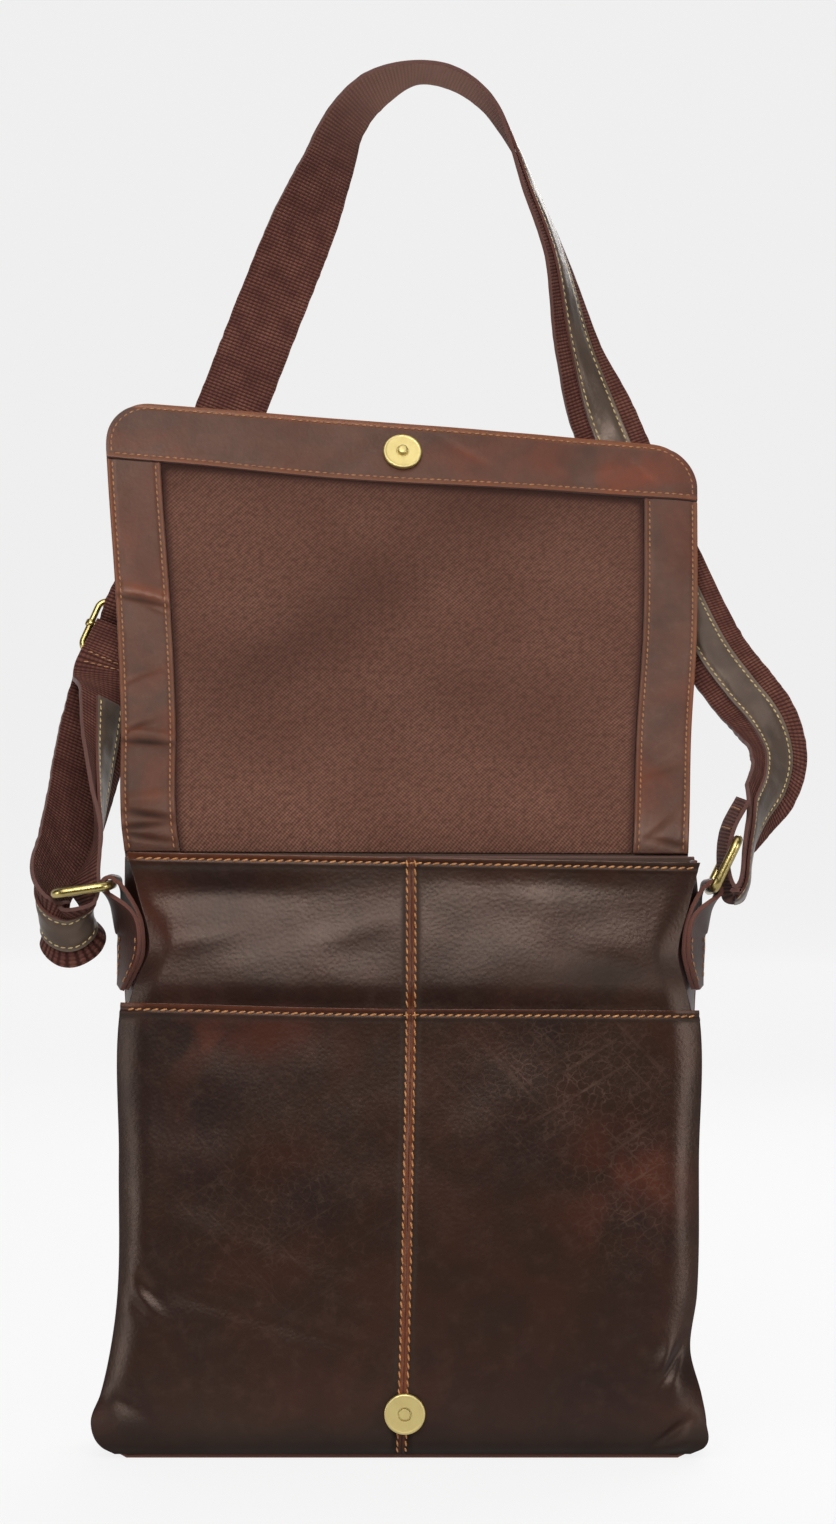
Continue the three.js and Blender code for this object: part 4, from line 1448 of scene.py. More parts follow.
        return Sheet("flap_lining_twill", (150, 150), shape, marks, LINING, round_mm=0.25)

    def band(self) -> Sheet:
        """The band across the free end."""
        def spot(u: Array, v: Array) -> tuple[Array, Array, Array, Array]:
            """Share across, place along, and distances above the band's lower edge and below its end."""
            low = self.band_line(2 * u - 1)
            along = lerp(low, 1.0, np.sin(v * 0.495 * math.pi))
            s = (2 * u - 1) * self.half_share(along)
            return s, along, (along - low) * self.length, (1 - along) * self.length

        def shape(u: Array, v: Array) -> Pair:
            """Points of the band: folds, a rolled lower edge and the grooves of its stitch rows."""
            s, along, above, end = spot(u, v)
            folds = folded(self.band_creases, self.face(s, along)) * ease(above / 4) * ease(end / 5)
            grooves = bell((above - self.band_stitch) / 0.7) + bell((end - self.stitch_in) / 0.7)
            return self.lifted(s, along, GAP + BAND + folds - 0.3 * grooves), self.cut(s, along)

        def marks(u: Array, v: Array) -> Marks:
            """Marks of the band: rubbed edges and folds, and warm ends."""
            s, along, above, end = spot(u, v)
            points = self.face(s, along)
            warm = spots(self.band_warm_spots, points[..., 0], points[..., 2])
            return Marks(
                wear=0.45 * (1 - ease((above - 0.8) / 2)) + 0.6 * (1 - ease((end - 1.5) / 2.5)),
                blush=warm + self.fold_wear(points, self.band_creases),
            )

        return Sheet("flap_end_band_leather", (170, 34), shape, marks, BAND, round_mm=0.6)

    def build(self) -> None:
        """Makes the flap's layers and stitches."""
        finishes = self.finishes
        back = (finishes.flesh, finishes.edge, finishes.grain)
        dress(self.outer().build(), Slot.DARK_LEATHER, back, "flap_leather")
        lining = dress(self.lining().build(), Slot.TWILL, (finishes.twill,) * 3, "flap_lining")
        self.declare()
        for sheet, node in (
            (self.side("flap_facing_left_leather", True), "flap_facing_left"),
            (self.side("flap_facing_right_leather", False), "flap_facing_right"),
            (self.band(), "flap_end_band"),
        ):
            dress(sheet.build(), Slot.FLAP_LEATHER, finishes.hide(finishes.flap), node)
        outer, inner = self.stitches()
        dress(sew("flap_edge_stitches", outer), Slot.THREAD, (finishes.brown_thread,))
        dress(sew("flap_facing_stitches", inner), Slot.THREAD, (finishes.brown_thread,))
        dress(sew("flap_stitches_outside", self.outside_stitches()), Slot.THREAD, (finishes.orange_thread,))

    def declare(self) -> None:
        """Works out how wide the lining's cut is at its widest, and uses it for nothing."""
        widest = float(self.width_at(np.array([self.lining_widest]))[0]) - 2 * (self.facing_width + GAP)

    def row(self, s: Array, along: Array, lift: Array | float) -> list[Matrix]:
        """A row of stitches on the inner side of the flap."""
        return FLAP_STITCH.row(self.lifted(s, along, lift), self.out(s, along))

    def stitches(self) -> tuple[Seams, Seams]:
        """Rows along the flap's edge and the band's foot, and rows at the inner edges of both facings."""
        n = self.stitch_points
        outer, inner = [], []
        along = np.linspace(self.foot + 0.004, self.band_foot - 0.008, n)
        for left, creases in ((True, self.left_creases), (False, self.right_creases)):
            for rows, inside in ((outer, self.stitch_in), (inner, self.facing_width - self.stitch_in)):
                s = self.share_at(along, inside, left)
                lift = self.facing_lift(self.face(s, along), creases, np.full(n, inside))
                rows.append(self.row(s, along, lift))
        s = np.linspace(-0.975, 0.98, n)
        on_band = GAP + BAND - 0.25
        outer.append(self.row(s, self.band_line(s) + self.band_stitch / self.length, on_band))
        outer.append(self.row(*self.rim(), on_band))
        return outer, inner

    def rim(self) -> Pair:
        """Shares across and places along the flap of the stitch line round its free end."""
        n, inside = self.stitch_points, self.stitch_in
        half = float(self.width_at(np.array([0.97]))[0]) / 2
        turn = np.linspace(0, math.pi / 2, n // 4)
        side = np.linspace((self.band_foot + 0.01) * self.length, self.length - self.corner, n // 8)
        straight = stack(np.full_like(side, half - inside), side)
        arc = stack(np.cos(turn), np.sin(turn)) * (self.corner - inside)
        right = np.concatenate([straight, arc + (half - self.corner, self.length - self.corner)])
        line = np.concatenate([right, right[::-1] * np.array([-1, 1])])
        reach = reach_of(line)
        even = np.linspace(0, reach[-1], n)
        x, y = (np.interp(even, reach, line[:, k]) for k in range(2))
        return x / half, y / self.length

    def outside_stitches(self) -> Seams:
        """The same rows on the outer side of the flap, and the rows that hold its lap to the back panel."""
        n = self.stitch_points
        along = np.linspace(0.14, self.band_foot, n)
        across = np.linspace(-0.96, 0.96, n)
        lines = [(self.share_at(along, self.stitch_in, left), along) for left in (True, False)]
        lines += [self.rim(), (across, np.full(n, 0.012)), (across, np.full(n, 0.04))]
        return [FLAP_STITCH.row(self.lifted(s, place, -LEATHER), -self.out(s, place)) for s, place in lines]

    def stud_place(self) -> Pair:
        """Where the snap's stud stands on the band, and the way it faces."""
        spot = (np.array([0.0]), np.array([self.stud_along]))
        out = self.out(*spot)[0]
        return self.lifted(*spot, GAP + BAND)[0] + out * SNAP_GAP, out


# Hardware


def settle(bm: Mesh, before: set[bmesh.types.BMVert], gap: float, place: Matrix) -> None:
    """Joins the new points of a mesh where they meet, and moves them to their place.

    Args:
        bm: The mesh.
        before: Points that it had before.
        gap: Points closer than this are joined, in millimetres.
        place: Turns the new points to their place, in metres.
    """
    bmesh.ops.remove_doubles(bm, verts=[vert for vert in bm.verts if vert not in before], dist=gap * MM)
    bmesh.ops.transform(bm, matrix=place, verts=[vert for vert in bm.verts if vert not in before])


def wire_loop(
    bm: Mesh, size: tuple[float, float], corner: float, wire: float, place: Matrix
) -> None:
    """Adds a closed loop of round wire in its XY plane, a rectangle with round corners.

    Args:
        bm: Mesh to add to.
        size: Width and height at the middle of the wire, in millimetres.
        corner: Radius of the corners.
        wire: Diameter of the wire.
        place: Turns the loop to its place, in metres.
    """
    before = set(bm.verts)
    half = (size[0] / 2 - corner, size[1] / 2 - corner)
    ring = bmesh.ops.create_circle(bm, segments=14, radius=wire / 2 * MM)["verts"]
    bmesh.ops.rotate(bm, verts=ring, matrix=Matrix.Rotation(math.pi / 2, 3, "X"))
    bmesh.ops.translate(bm, verts=ring, vec=Vector((half[0] + corner, -half[1], 0)) * MM)
    edges = list({edge for vert in ring for edge in vert.link_edges})
    centres = ((1, 1), (-1, 1), (-1, -1), (1, -1))
    runs = ((0, 2 * half[1]), (-2 * half[0], 0), (0, -2 * half[1]), (2 * half[0], 0))
    for (cx, cy), (dx, dy) in zip(centres, runs):
        grown = bmesh.ops.extrude_edge_only(bm, edges=edges)["geom"]
        verts = [part for part in grown if isinstance(part, bmesh.types.BMVert)]
        bmesh.ops.translate(bm, verts=verts, vec=Vector((dx, dy, 0)) * MM)
        edges = [part for part in grown if isinstance(part, bmesh.types.BMEdge)
                 and all(vert in verts for vert in part.verts)]
        turned = bmesh.ops.spin(bm, geom=verts + edges, cent=Vector((cx * half[0], cy * half[1], 0)) * MM,
                                axis=(0, 0, 1), angle=math.pi / 2, steps=8)["geom_last"]
        edges = [part for part in turned if isinstance(part, bmesh.types.BMEdge)]
    settle(bm, before, 0.02, place)


def lathe(bm: Mesh, profile: Sequence[tuple[float, float]], steps: int, place: Matrix) -> None:
    """Adds a turned solid around its Z axis.

    Args:
        bm: Mesh to add to.
        profile: Radius and height of each point, in millimetres, from the axis to the axis.
        steps: Steps around.
        place: Turns the solid to its place, in metres.
    """
    before = set(bm.verts)
    verts = [bm.verts.new((radius * MM, 0, height * MM)) for radius, height in profile]
    edges = [bm.edges.new(pair) for pair in zip(verts, verts[1:])]
    bmesh.ops.spin(bm, geom=verts + edges, cent=(0, 0, 0), axis=(0, 0, 1), angle=2 * math.pi, steps=steps,
                   use_merge=True)
    settle(bm, before, 0.002, place)


def placed(at: Sequence[float], x: Vector, y: Vector, z: Vector) -> Matrix:
    """Matrix of a place in millimetres and three axes."""
    return Matrix.Translation(Vector(at) * MM) @ Matrix((x, y, z)).transposed().to_4x4()


@dataclass
class Ring:
    """A rectangular wire ring that reaches from its tab to the strap."""

    node: str
    seat: Point
    reach: Point
    finishes: Finishes
    wire: float = 4.2
    inside: float = 34.0
    length: float = 24.0
    corner: float = 4.5

    def build(self) -> None:
        """Makes the ring."""
        reach = Vector(self.reach).normalized()
        bar = (Vector((0, 1, 0)) - reach * reach.y).normalized()
        place = placed(Vector(self.seat) + reach * self.length / 2, reach, bar, reach.cross(bar))
        bm = bmesh.new()
        wire_loop(bm, (self.length, self.inside + self.wire), self.corner, self.wire, place)
        bmesh.ops.recalc_face_normals(bm, faces=bm.faces)
        dress(object_of(f"{self.node}_wire", bm), Slot.BRASS, (self.finishes.antique,), self.node)


class SnapKind(Enum):
    """The two halves of the magnetic snap."""

    STUD = "snap_stud"
    SOCKET = "snap_socket"


@dataclass
class Snap:
    """Half of the magnetic snap: a pressed disc with a soft rim and, in the middle, a nub or a ring and hole.

    The rim lists distances in from the radius, the middles list radii, and all list heights above the face.
    """

    kind: SnapKind
    at: Array
    out: Array
    finishes: Finishes
    radius: float = 9.0
    height: float = 2.4
    steps: int = 56
    sharp_degrees: float = 32.0
    rim: Rows = (
        (0, -1.7), (0, -0.7), (0.12, -0.32), (0.4, -0.08), (0.75, 0), (1.1, -0.02), (1.3, -0.1), (1.6, -0.1),
    )
    nub: Rows = (
        (3.0, -0.12), (2.75, -0.3), (2.5, -0.3), (2.4, -0.1), (2.35, 1.2), (2.2, 1.6), (1.8, 1.9), (1.2, 2.0),
        (0, 2.0),
    )
    hole: Rows = ((3.2, -0.1), (3.1, -0.2), (3.05, -1.0), (2.5, -1.0), (2.45, -0.3), (2.3, -0.14), (0, -0.14))

    def profile(self) -> list[tuple[float, float]]:
        """Radius and height of the disc's outline, from the middle of its foot to the middle of its face."""
        r, h = self.radius, self.height
        foot = [(0, 0), (r - 0.3, 0), (r - 0.05, 0.25)]
        middle = self.nub if self.kind is SnapKind.STUD else self.hole
        return [*foot, *((r - inside, h + up) for inside, up in self.rim), *((x, h + up) for x, up in middle)]

    def build(self) -> None:
        """Makes the half."""
        out = Vector(self.out)
        side = out.orthogonal().normalized()
        bm = bmesh.new()
        lathe(bm, self.profile(), self.steps, placed(self.at, side, out.cross(side), out))
        bmesh.ops.recalc_face_normals(bm, faces=bm.faces)
        obj = object_of(f"{self.kind.value}_disc", bm, self.sharp_degrees)
        dress(obj, Slot.PALE_BRASS, (self.finishes.pale,), self.kind.value)


# The strap: stations of its middle line, and the way its outer face looks at each


RIGHT_END = (
    (147.4, -6, 288.5, -0.9, -0.1, 0.4),
    (140.6, -6, 275.5, -0.9, -0.1, 0.35),
    (138.4, -6, 262, -1, -0.08, 0),
    (140.2, -6, 251, -0.9, -0.1, -0.4),
    (143.6, -6, 245.4, 0, -0.2, -0.98),
    (147, -6, 251, 0.9, -0.15, -0.4),
    (148.3, -5, 262, 0.99, -0.12, -0.1),
    (150.2, -3, 272, 0.98, -0.18, -0.15),
    (153.8, 7, 283, 0.74, -0.64, -0.2),
)
RIGHT_RUN = (
    (161.4, 22, 295, 0.58, -0.8, 0),
    (164.4, 33, 306, 0.45, -0.88, 0.1),
    (163, 43, 316.5, 0.3, -0.92, 0.2),
    (159, 51, 326, 0.15, -0.95, 0.3),
    (149.5, 62, 339, 0, -0.93, 0.35),
    (137.5, 74, 356.5, 0, -0.9, 0.42),
    (115.5, 110, 406, 0, -0.9, 0.42),
    (94, 135, 456, 0.05, -0.97, 0.2),
)
ARCH = (
    (79, 136, 496, 0.68, -0.69, 0.24),
    (67, 134, 544, 0.87, -0.3, 0.38),
    (55, 132, 574, 0.86, -0.2, 0.45),
    (43.5, 130, 600, 0.8, 0, 0.6),
    (35, 129, 614, 0.6, 0.12, 0.79),
    (19.5, 128, 625, 0.3, 0.18, 0.93),
    (2, 127, 627.5, 0, 0.2, 0.98),
    (-19, 126, 618, -0.6, 0.45, 0.65),
    (-31, 126, 604, -0.68, 0.55, 0.5),
    (-39, 125, 584, -0.6, 0.7, 0.38),
    (-52.5, 124, 551, -0.28, 0.95, 0.12),
    (-67.5, 124, 513.5, 0, 1, 0),
    (-83.5, 122, 472, 0, 1, 0),
    (-98, 110, 436, 0, 0.94, -0.34),
    (-114, 90, 398, 0, 0.92, -0.38),
)
LOWER_LOOP = (
    (-141, 62, 333, -0.2, 0.97, 0),
    (-147, 55, 311, -0.45, 0.88, 0),
    (-151, 43, 289, -0.52, 0.85, 0),
    (-156.4, 26, 266, -0.7, 0.7, -0.1),
    (-162, 8, 249, -0.9, 0.3, -0.3),
    (-162.5, -4, 237, -0.82, -0.35, -0.45),
    (-158, -7.5, 231, -0.5, -0.76, -0.42),
    (-151.5, -9, 228.8, 0, -0.92, -0.4),
    (-145.8, -8.5, 232.5, 0.5, -0.76, -0.4),
    (-143.6, -7, 241, 0.88, 0.15, -0.4),
    (-144.6, -6, 252, 0.9, 0.42, 0),
    (-141, 1, 268, 0.96, 0.25, 0),
    (-140.5, 12, 283, 1, -0.1, 0),
    (-139.5, 28, 306, 0.85, -0.5, 0),
    (-137.5, 43, 331, 0.55, -0.82, 0),
)


class Ribbon:
    """A flat strip along stations: a middle line, the way its outer face looks and its width."""

    STEPS = 40

    def __init__(self, places: Array, faces: Array, widths: Array) -> None:
        """Sets up the strip's three curves and its length at each of many places."""
        self.line = Path(places)
        self.faces = Path(unit(faces))
        self.widths = Path(stack(widths, 0 * widths, 0 * widths))
        self.last = len(places) - 1
        self.fine = np.linspace(0, self.last, self.last * self.STEPS + 1)
        self.reach = reach_of(self.line.at(self.fine))

    def length_to(self, station: Array) -> Array:
        """Length of the strip up to a station, in millimetres."""
        return np.interp(station, self.fine, self.reach)

    def frame(self, station: Array) -> Pair:
        """Directions across the strip and out of its outer face."""
        ahead = np.minimum(station + STEP_SHARE, self.last)
        behind = np.maximum(station - STEP_SHARE, 0)
        tangent = unit(self.line.at(ahead) - self.line.at(behind))
        out = self.faces.at(station)
        out = unit(out - tangent * np.sum(out * tangent, axis=-1, keepdims=True))
        return np.cross(out, tangent), out

    def at(self, station: Array, share: Array, lift: Array | float) -> Array:
        """Points of the strip.

        Args:
            station: Station numbers.
            share: Share of the width from the middle, from -0.5 to 0.5.
            lift: Height above the middle layer.

        Returns:
            Points.
        """
        across, out = self.frame(station)
        width = self.widths.at(station)[..., 0]
        height = np.broadcast_to(np.asarray(lift, dtype=float), width.shape)
        return self.line.at(station) + across * (share * width)[..., None] + out * height[..., None]


@dataclass
class Strap:
    """The shoulder strap: webbing, the leather strip sewn on it, and the slider."""

    finishes: Finishes
    width: float = 32.0
    fray: Swell = Swell(0.35, 3.2, 9.1)
    fray_apart: float = 40.0
    strip_swell: Swell = Swell(0.4, 8, 6.6)
    strip_width: float = 15.0
    strip_start: float = 4.0
    strip_stitch: float = 1.7
    arch_top: float = 22.6
    slider_at: Point = (-130.0, 74.0, 362.0)
    slider_up: Point = (0.374, 0.3, 0.88)
    slider_back: Point = (0.0, 0.94, -0.32)
    slider_wire: float = 3.0
    slider_inside: float = 34.0
    slider_reach: float = 26.0
    slider_corner: float = 4.5
    collar: float = 3.0
    collar_wall: float = 0.9
    axes: tuple[Vector, Vector, Vector] = field(init=False)
    ribbon: Ribbon = field(init=False)
    upper_last: float = field(init=False)
    lower_first: float = field(init=False)
    lower_last: float = field(init=False)

    def __post_init__(self) -> None:
        """Lays the strap's stations end to end, through the slider."""
        up = Vector(self.slider_up).normalized()
        back = Vector(self.slider_back)
        back = (back - up * back.dot(up)).normalized()
        self.axes = (up.cross(back), up, back)
        wrap = self.slider_wire / 2 + GAP + WEBBING / 2
        end = self.slider_reach / 2
        through = ((end + 9, -1.5, 10), (end, -3.5, 20), (0, 6.4, 0), (-end, -3.5, -20), (-end - 9, -1, -10))
        sewn = (
            (-end - 8, -8.5, 180), (-end, -6.6, 180), (0, -wrap, 180), (wrap * 0.75, -wrap * 0.66, 130),
            (wrap * 0.75, wrap * 0.66, 50), (-0.6, wrap, 0),
        )
        upper = [*RIGHT_END, *RIGHT_RUN, *ARCH]
        rows = [*upper, *map(self.at_slider, through), *LOWER_LOOP, *map(self.at_slider, sewn)]
        stations = np.array(rows, dtype=float)
        self.ribbon = Ribbon(stations[:, :3], stations[:, 3:], np.full(len(stations), self.width))
        self.upper_last = len(upper) - 1.0
        self.lower_first = float(len(upper) + len(through))
        self.lower_last = self.lower_first + len(LOWER_LOOP) - 1

    def at_slider(self, spot: Point) -> tuple[float, ...]:
        """A station at the slider, by its distance up and behind it and the turn of its outer face."""
        rise, behind, turn = spot
        _, up, back = self.axes
        place = Vector(self.slider_at) + up * rise + back * behind
        face = back * math.cos(math.radians(turn)) + up * math.sin(math.radians(turn))
        return (*place, *face)

    def webbing(self) -> Sheet:
        """The webbing, with a soft uneven selvedge."""
        def shape(u: Array, v: Array) -> Pair:
            """Points of the webbing."""
            station = v * self.ribbon.last
            reach = self.ribbon.length_to(station)
            share = u - 0.5
            at_edge = np.abs(share) > 0.49
            rough = self.fray.at(reach, np.sign(share) * self.fray_apart) * at_edge / self.width
            return self.ribbon.at(station, share + rough, 0.0), stack(share * self.width, reach)

        def marks(u: Array, v: Array) -> Marks:
            """Marks of the webbing: a painted highlight, paler at the top of the arch."""
            return Marks(wear=0.6 * bell((v * self.ribbon.last - self.arch_top) / 2.0) + 0 * u)

        return Sheet("strap_webbing_weave", (16, 900), shape, marks, WEBBING, 0.0, 0.5)

    def strip_lift(self, off: Array, reach: Array) -> Array:
        """Height of the leather strip's outer face above the webbing's middle layer."""
        inside = self.strip_width / 2 - np.abs(off)
        crown = 0.5 * ease((inside - 1.4) / 3.5) + self.strip_swell.at(reach, off) * ease((inside - 1.5) / 2)
        return WEBBING / 2 + GAP + STRIP + crown - 0.3 * bell((inside - self.strip_stitch) / 0.6)

    def on_strip(self, station: Array, off: Array) -> Pair:
        """Points of the leather strip, and their spots on its flat cut.

        Args:
            station: Station numbers.
            off: Distance from the strap's middle line.

        Returns:
            Points and spots.
        """
        reach = self.ribbon.length_to(station)
        points = self.ribbon.at(station, off / self.width, self.strip_lift(off, reach))
        return points, stack(off, reach)

    def strip(self, name: str, first: float, last: float) -> Sheet:
        """A length of the leather strip.

        Args:
            name: Name of the piece.
            first: Station where it starts.
            last: Station where it ends.

        Returns:
            The sheet.
        """
        def shape(u: Array, v: Array) -> Pair:
            """Points of the strip."""
            return self.on_strip(lerp(first, last, v), (0.5 - u) * self.strip_width)

        def marks(u: Array, v: Array) -> Marks:
            """Marks of the strip: its edges are rubbed."""
            inside = self.strip_width / 2 - np.abs(u - 0.5) * self.strip_width
            return Marks(wear=0.5 * (1 - ease((inside - 0.4) / 1.4)))

        return Sheet(name, (16, 30 + int(22 * (last - first))), shape, marks, STRIP, round_mm=0.4)

    def slider(self) -> Piece:
        """The wire slider: a frame, a middle bar and the collars that hold the bar on the frame."""
        place = placed(self.slider_at, *self.axes)
        width = self.slider_inside + self.slider_wire
        half, r = width / 2, self.slider_wire / 2
        bm = bmesh.new()
        wire_loop(bm, (width, self.slider_reach), self.slider_corner, self.slider_wire, place)
        bar = [(0, -half), (r, -half), (r, half), (0, half)]
        lathe(bm, bar, 16, place @ Matrix.Rotation(math.pi / 2, 4, "Y"))
        c, w = self.collar / 2, r + self.collar_wall
        collar = [(0, -c), (w - 0.4, -c), (w, -c + 0.5), (w, c - 0.5), (w - 0.4, c), (0, c)]
        for side in (-1, 1):
            turn = Matrix.Translation((side * half * MM, 0, 0)) @ Matrix.Rotation(-math.pi / 2, 4, "X")
            lathe(bm, collar, 18, place @ turn)
        bmesh.ops.recalc_face_normals(bm, faces=bm.faces)
        return object_of("slider_buckle_wire", bm, 40)

    def stitches(self) -> Seams:
        """Two rows on each leather strip."""
        rows = []
        for first, last in ((self.strip_start, self.upper_last), (self.lower_first, self.lower_last)):
            station = np.linspace(first + 0.05, last - 0.05, 1200)
            for side in (-1, 1):
                off = np.full_like(station, side * (self.strip_width / 2 - self.strip_stitch))
                rows.append(STRAP_STITCH.row(self.on_strip(station, off)[0], self.ribbon.frame(station)[1]))
        return rows

    def end_stitches(self) -> Seams:
        """Rows across both sewn ends of the webbing, on its two faces."""
        rows = []
        share = np.linspace(-0.4, 0.4, 60)
        for station in (0.35, 1.0, self.lower_last + 1.15, self.lower_last + 1.6):
            place = np.full_like(share, station)
            for side in (-1, 1):
                points = self.ribbon.at(place, share, side * (WEBBING / 2 + 0.1))
                rows.append(STRAP_END_STITCH.row(points, side * self.ribbon.frame(place)[1]))
        return rows

    def build(self) -> None:
        """Makes the strap's pieces."""
        finishes = self.finishes
        woven = (finishes.webbing, finishes.selvedge, finishes.webbing)
        dress(self.webbing().build(), Slot.WEBBING, woven, "strap_webbing")
        for name, node, first, last in (
            ("strap_strip_upper", "strap_leather_upper", self.strip_start, self.upper_last),
            ("strap_strip_lower", "strap_leather_lower", self.lower_first, self.lower_last),
        ):
            strip = self.strip(name, first, last).build()
            dress(strip, Slot.STRAP_LEATHER, finishes.hide(finishes.strap), node)
        dress(self.slider(), Slot.BRASS, (finishes.antique,), "slider_buckle")
        dress(sew("strap_stitches", self.stitches()), Slot.THREAD, (finishes.gold_thread,))
        dress(sew("strap_end_stitches", self.end_stitches()), Slot.THREAD, (finishes.brown_thread,))


@dataclass
class Tab:
    """A leather tab folded round a ring's bar and sewn to the gusset."""

    node: str
    side: int
    seat: Point
    body: Body
    finishes: Finishes
    ease_off: float = 1.1
    ring_wire: float = 4.2
    middle: float = 0.46
    span: float = 0.2
    width: float = 24.0
    stitch_share: float = 0.4
    wrap_degrees: tuple[float, ...] = (20, 70, 120, 170, 220)
    levels: Rows = ((205, 13), (213, 21), (222, 24), (231, 24))

    def on_gusset(self, up: float, lift: float) -> Pair:
        """A point above the gusset and the way that the gusset faces there."""
        height = np.array([up])
        here, before, after = (
            self.body.gusset_side(self.side, height, np.array([s]))[0]
            for s in (self.middle, self.middle - self.span, self.middle + self.span)
        )
        across = unit(after - before)
        out = np.array([across[1], -across[0], 0]) * self.side
        return here + out * lift, out

    def ribbon(self) -> Ribbon:
        """The tab's strip: up the gusset, round the ring's bar and down again outside."""
        inner = GAP + self.ease_off + LEATHER / 2
        outer = inner + LEATHER + GAP
        wrap = self.ring_wire / 2 + 2 * GAP + LEATHER / 2
        rising, round_bar, falling = [], [], []
        for rows, lift, way in ((rising, inner, -1), (falling, outer, 1)):
            for up, width in self.levels:
                at, out = self.on_gusset(up, lift)
                rows.append((at, way * out, width))
        for degrees in self.wrap_degrees:
            turn = math.radians(degrees)
            face = np.array([-self.side * math.cos(turn), 0, math.sin(turn)])
            round_bar.append((np.array(self.seat) + face * wrap, face, self.width))
        places, faces, widths = zip(*rising, *round_bar, *reversed(falling))
        return Ribbon(np.array(places), np.array(faces), np.array(widths, dtype=float))

    def build(self) -> None:
        """Makes the tab and its stitches."""
        ribbon = self.ribbon()

        def shape(u: Array, v: Array) -> Pair:
            """Points of the tab."""
            station = v * ribbon.last
            cut = stack((0.5 - u) * self.width, ribbon.length_to(station))
            return ribbon.at(station, 0.5 - u, LEATHER / 2), cut

        def marks(u: Array, v: Array) -> Marks:
            """Marks of the tab: it is rubbed along its edges and where it bends."""
            edge = 0.45 * (1 - ease((0.5 - np.abs(u - 0.5)) / 0.08))
            return Marks(wear=np.maximum(edge, 0.3 * bell((v - 0.5) / 0.1)), blush=np.full_like(u, 0.1))

        leather = Sheet(f"{self.node}_leather", (20, 150), shape, marks).build()
        dress(leather, Slot.DARK_LEATHER, self.finishes.hide(self.finishes.side), self.node)
        station = np.linspace(ribbon.last - 2.7, ribbon.last - 0.4, 200)
        out = ribbon.frame(station)[1]
        shares = (np.full_like(station, side * self.stitch_share) for side in (-1, 1))
        rows = [TAB_STITCH.row(ribbon.at(station, share, LEATHER / 2), out) for share in shares]
        dress(sew(f"{self.node}_stitches", rows), Slot.THREAD, (self.finishes.brown_thread,))


# The studio


@dataclass(frozen=True)
class Lamp:
    """A soft rectangular light: its place and the point it faces, in metres, and its power in watts."""

    name: str
    at: Point
    towards: Point
    size: tuple[float, float]
    power: float

    def build(self) -> None:
        """Makes the light. The camera doesn't see it."""
        data = bpy.data.lights.new(self.name, "AREA")
        data.shape = "RECTANGLE"
        data.size, data.size_y = self.size
        data.energy = self.power
        obj = bpy.data.objects.new(self.name, data)
        obj.location = self.at
        obj.rotation_euler = (Vector(self.towards) - Vector(self.at)).to_track_quat("-Z", "Y").to_euler()
        obj.visible_camera = False
        bpy.context.scene.collection.objects.link(obj)


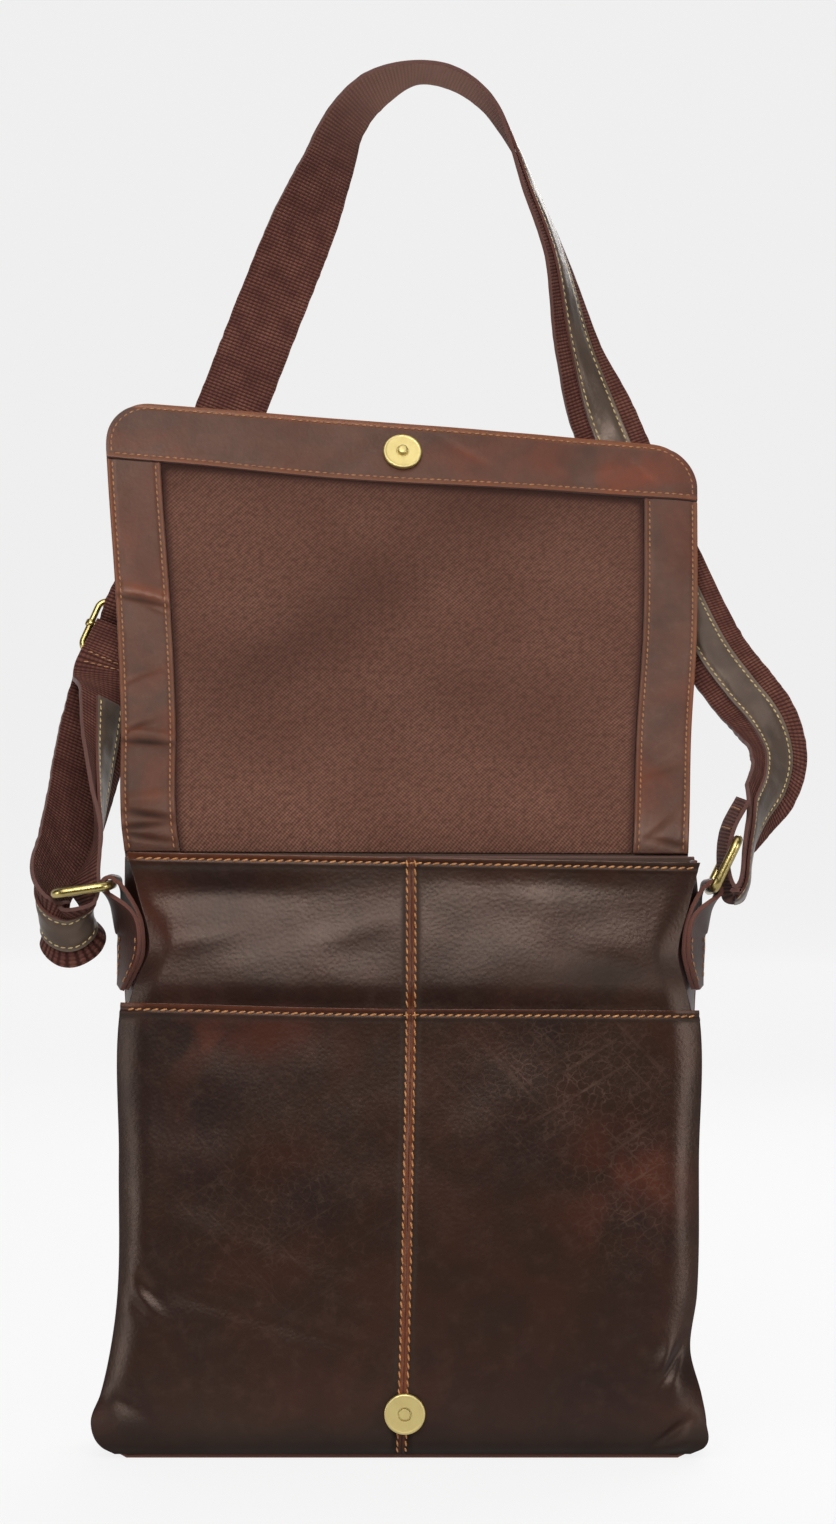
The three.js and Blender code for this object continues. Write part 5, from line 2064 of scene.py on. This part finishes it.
@dataclass
class Studio:
    """Pale sweep, soft lights and the camera of the photograph."""

    camera_at: Point = (0.003, -2.44, 0.305)
    sensor: float = 36.0
    frame_height: float = 0.66675
    frame_distance: float = 2.4
    paper: str = "#f1f1f1"
    shade: str = "#363636"
    glow: float = 0.955
    tooth_mm: float = 2.5
    sweep_start: float = -0.4
    sweep_flat: float = 6.4
    sweep_bend: float = 2.4
    sweep_run: float = 18.0
    sweep_width: float = 24.0
    sky: float = 0.07
    lamps: tuple[Lamp, ...] = (
        Lamp("key", (-0.5, -1.6, 2.1), (0, 0, 0.25), (1.4, 1.0), 21),
        Lamp("brow", (-0.1, -2.2, 1.42), (0, 0, 0.25), (1.7, 0.42), 43),
        Lamp("top", (0.2, -0.3, 2.2), (0, 0, 0.2), (1.8, 1.2), 12),
        Lamp("fill", (1.9, -1.3, 0.4), (0, 0, 0.15), (0.7, 1.1), 19),
        Lamp("side", (-1.9, -0.9, 0.25), (0, 0, 0.1), (0.5, 0.9), 12),
        Lamp("rear", (0.7, 2.4, 1.3), (0, 0, 0.2), (1.6, 0.6), 18),
    )

    def camera(self) -> None:
        """Level camera in front of the bag."""
        data = bpy.data.cameras.new("camera")
        data.sensor_width = self.sensor
        data.lens = self.sensor * self.frame_distance / self.frame_height
        obj = bpy.data.objects.new("camera", data)
        obj.location = self.camera_at
        obj.rotation_euler = (math.pi / 2, 0, 0)
        bpy.context.scene.collection.objects.link(obj)
        bpy.context.scene.camera = obj

    def paper_finish(self) -> Material:
        """White paper, lit a little from behind so that it shows no seam between floor and wall."""
        nodes = Nodes("white_paper")
        tooth = nodes.noise(nodes.place(), self.tooth_mm, 2.0)
        return nodes.finish(
            Normal=nodes.bump(tooth, 0.02, 0.2),
            Base_Color=linear(self.shade),
            Roughness=0.9,
            Emission_Color=linear(self.paper),
            Emission_Strength=self.glow,
        )

    def sweep(self, name: str, side: int, paper: Material) -> Piece:
        """Paper floor that curves up into a far wall.

        Args:
            name: Name of the sheet.
            side: 1 for the sheet behind the bag, -1 for the one in front of it.
            paper: Finish of the sheet.

        Returns:
            The new object.
        """
        bm = bmesh.new()
        bmesh.ops.create_grid(bm, x_segments=2, y_segments=90, size=0.5)
        radius = self.sweep_bend / (math.pi / 2)
        for vert in bm.verts:
            run = (vert.co.y + 0.5) * self.sweep_run
            bend = min(max(run - self.sweep_flat, 0), self.sweep_bend) / radius
            rise = max(run - self.sweep_flat - self.sweep_bend, 0) + radius * (1 - math.cos(bend))
            reach = min(run, self.sweep_flat) + radius * math.sin(bend)
            vert.co = (vert.co.x * self.sweep_width, side * reach + self.sweep_start, rise)
        bmesh.ops.recalc_face_normals(bm, faces=bm.faces[:])
        obj = object_of(name, bm)
        obj.data.materials.append(paper)
        return obj

    def build(self) -> None:
        """Makes the stage, lights and camera."""
        self.camera()
        paper = self.paper_finish()
        self.sweep("paper_behind", 1, paper)
        front = self.sweep("paper_in_front", -1, paper)
        # The front sheet is only a ground for the eye: it throws no light up at the leather.
        front.visible_diffuse = False
        front.visible_glossy = False
        world = bpy.data.worlds.new("studio")
        world.use_nodes = True
        background = world.node_tree.nodes["Background"]
        background.inputs["Color"].default_value = (1, 1, 1, 1)
        background.inputs["Strength"].default_value = self.sky
        bpy.context.scene.world = world
        for lamp in self.lamps:
            lamp.build()
        bpy.context.scene.view_settings.view_transform = "Standard"


LEFT_SEAT = (-133.2, -7.0, 250.5)
RIGHT_SEAT = (133.2, -7.0, 248.5)


def main() -> None:
    """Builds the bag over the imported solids."""
    logging.basicConfig(level=logging.INFO, format="%(message)s")
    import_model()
    Studio().build()
    finishes = Finishes()
    body = Body(finishes)
    body.build()
    flap = Flap(finishes)
    flap.build()
    Strap(finishes).build()
    Ring("ring_left", LEFT_SEAT, (-0.989, 0, -0.147), finishes).build()
    Ring("ring_right", RIGHT_SEAT, (0.44, 0.06, 0.896), finishes).build()
    Tab("tab_left", -1, LEFT_SEAT, body, finishes).build()
    Tab("tab_right", 1, RIGHT_SEAT, body, finishes).build()
    Snap(SnapKind.STUD, *flap.stud_place(), finishes).build()
    Snap(SnapKind.SOCKET, *body.socket_place(), finishes).build()


if __name__ == "__main__":
    main()
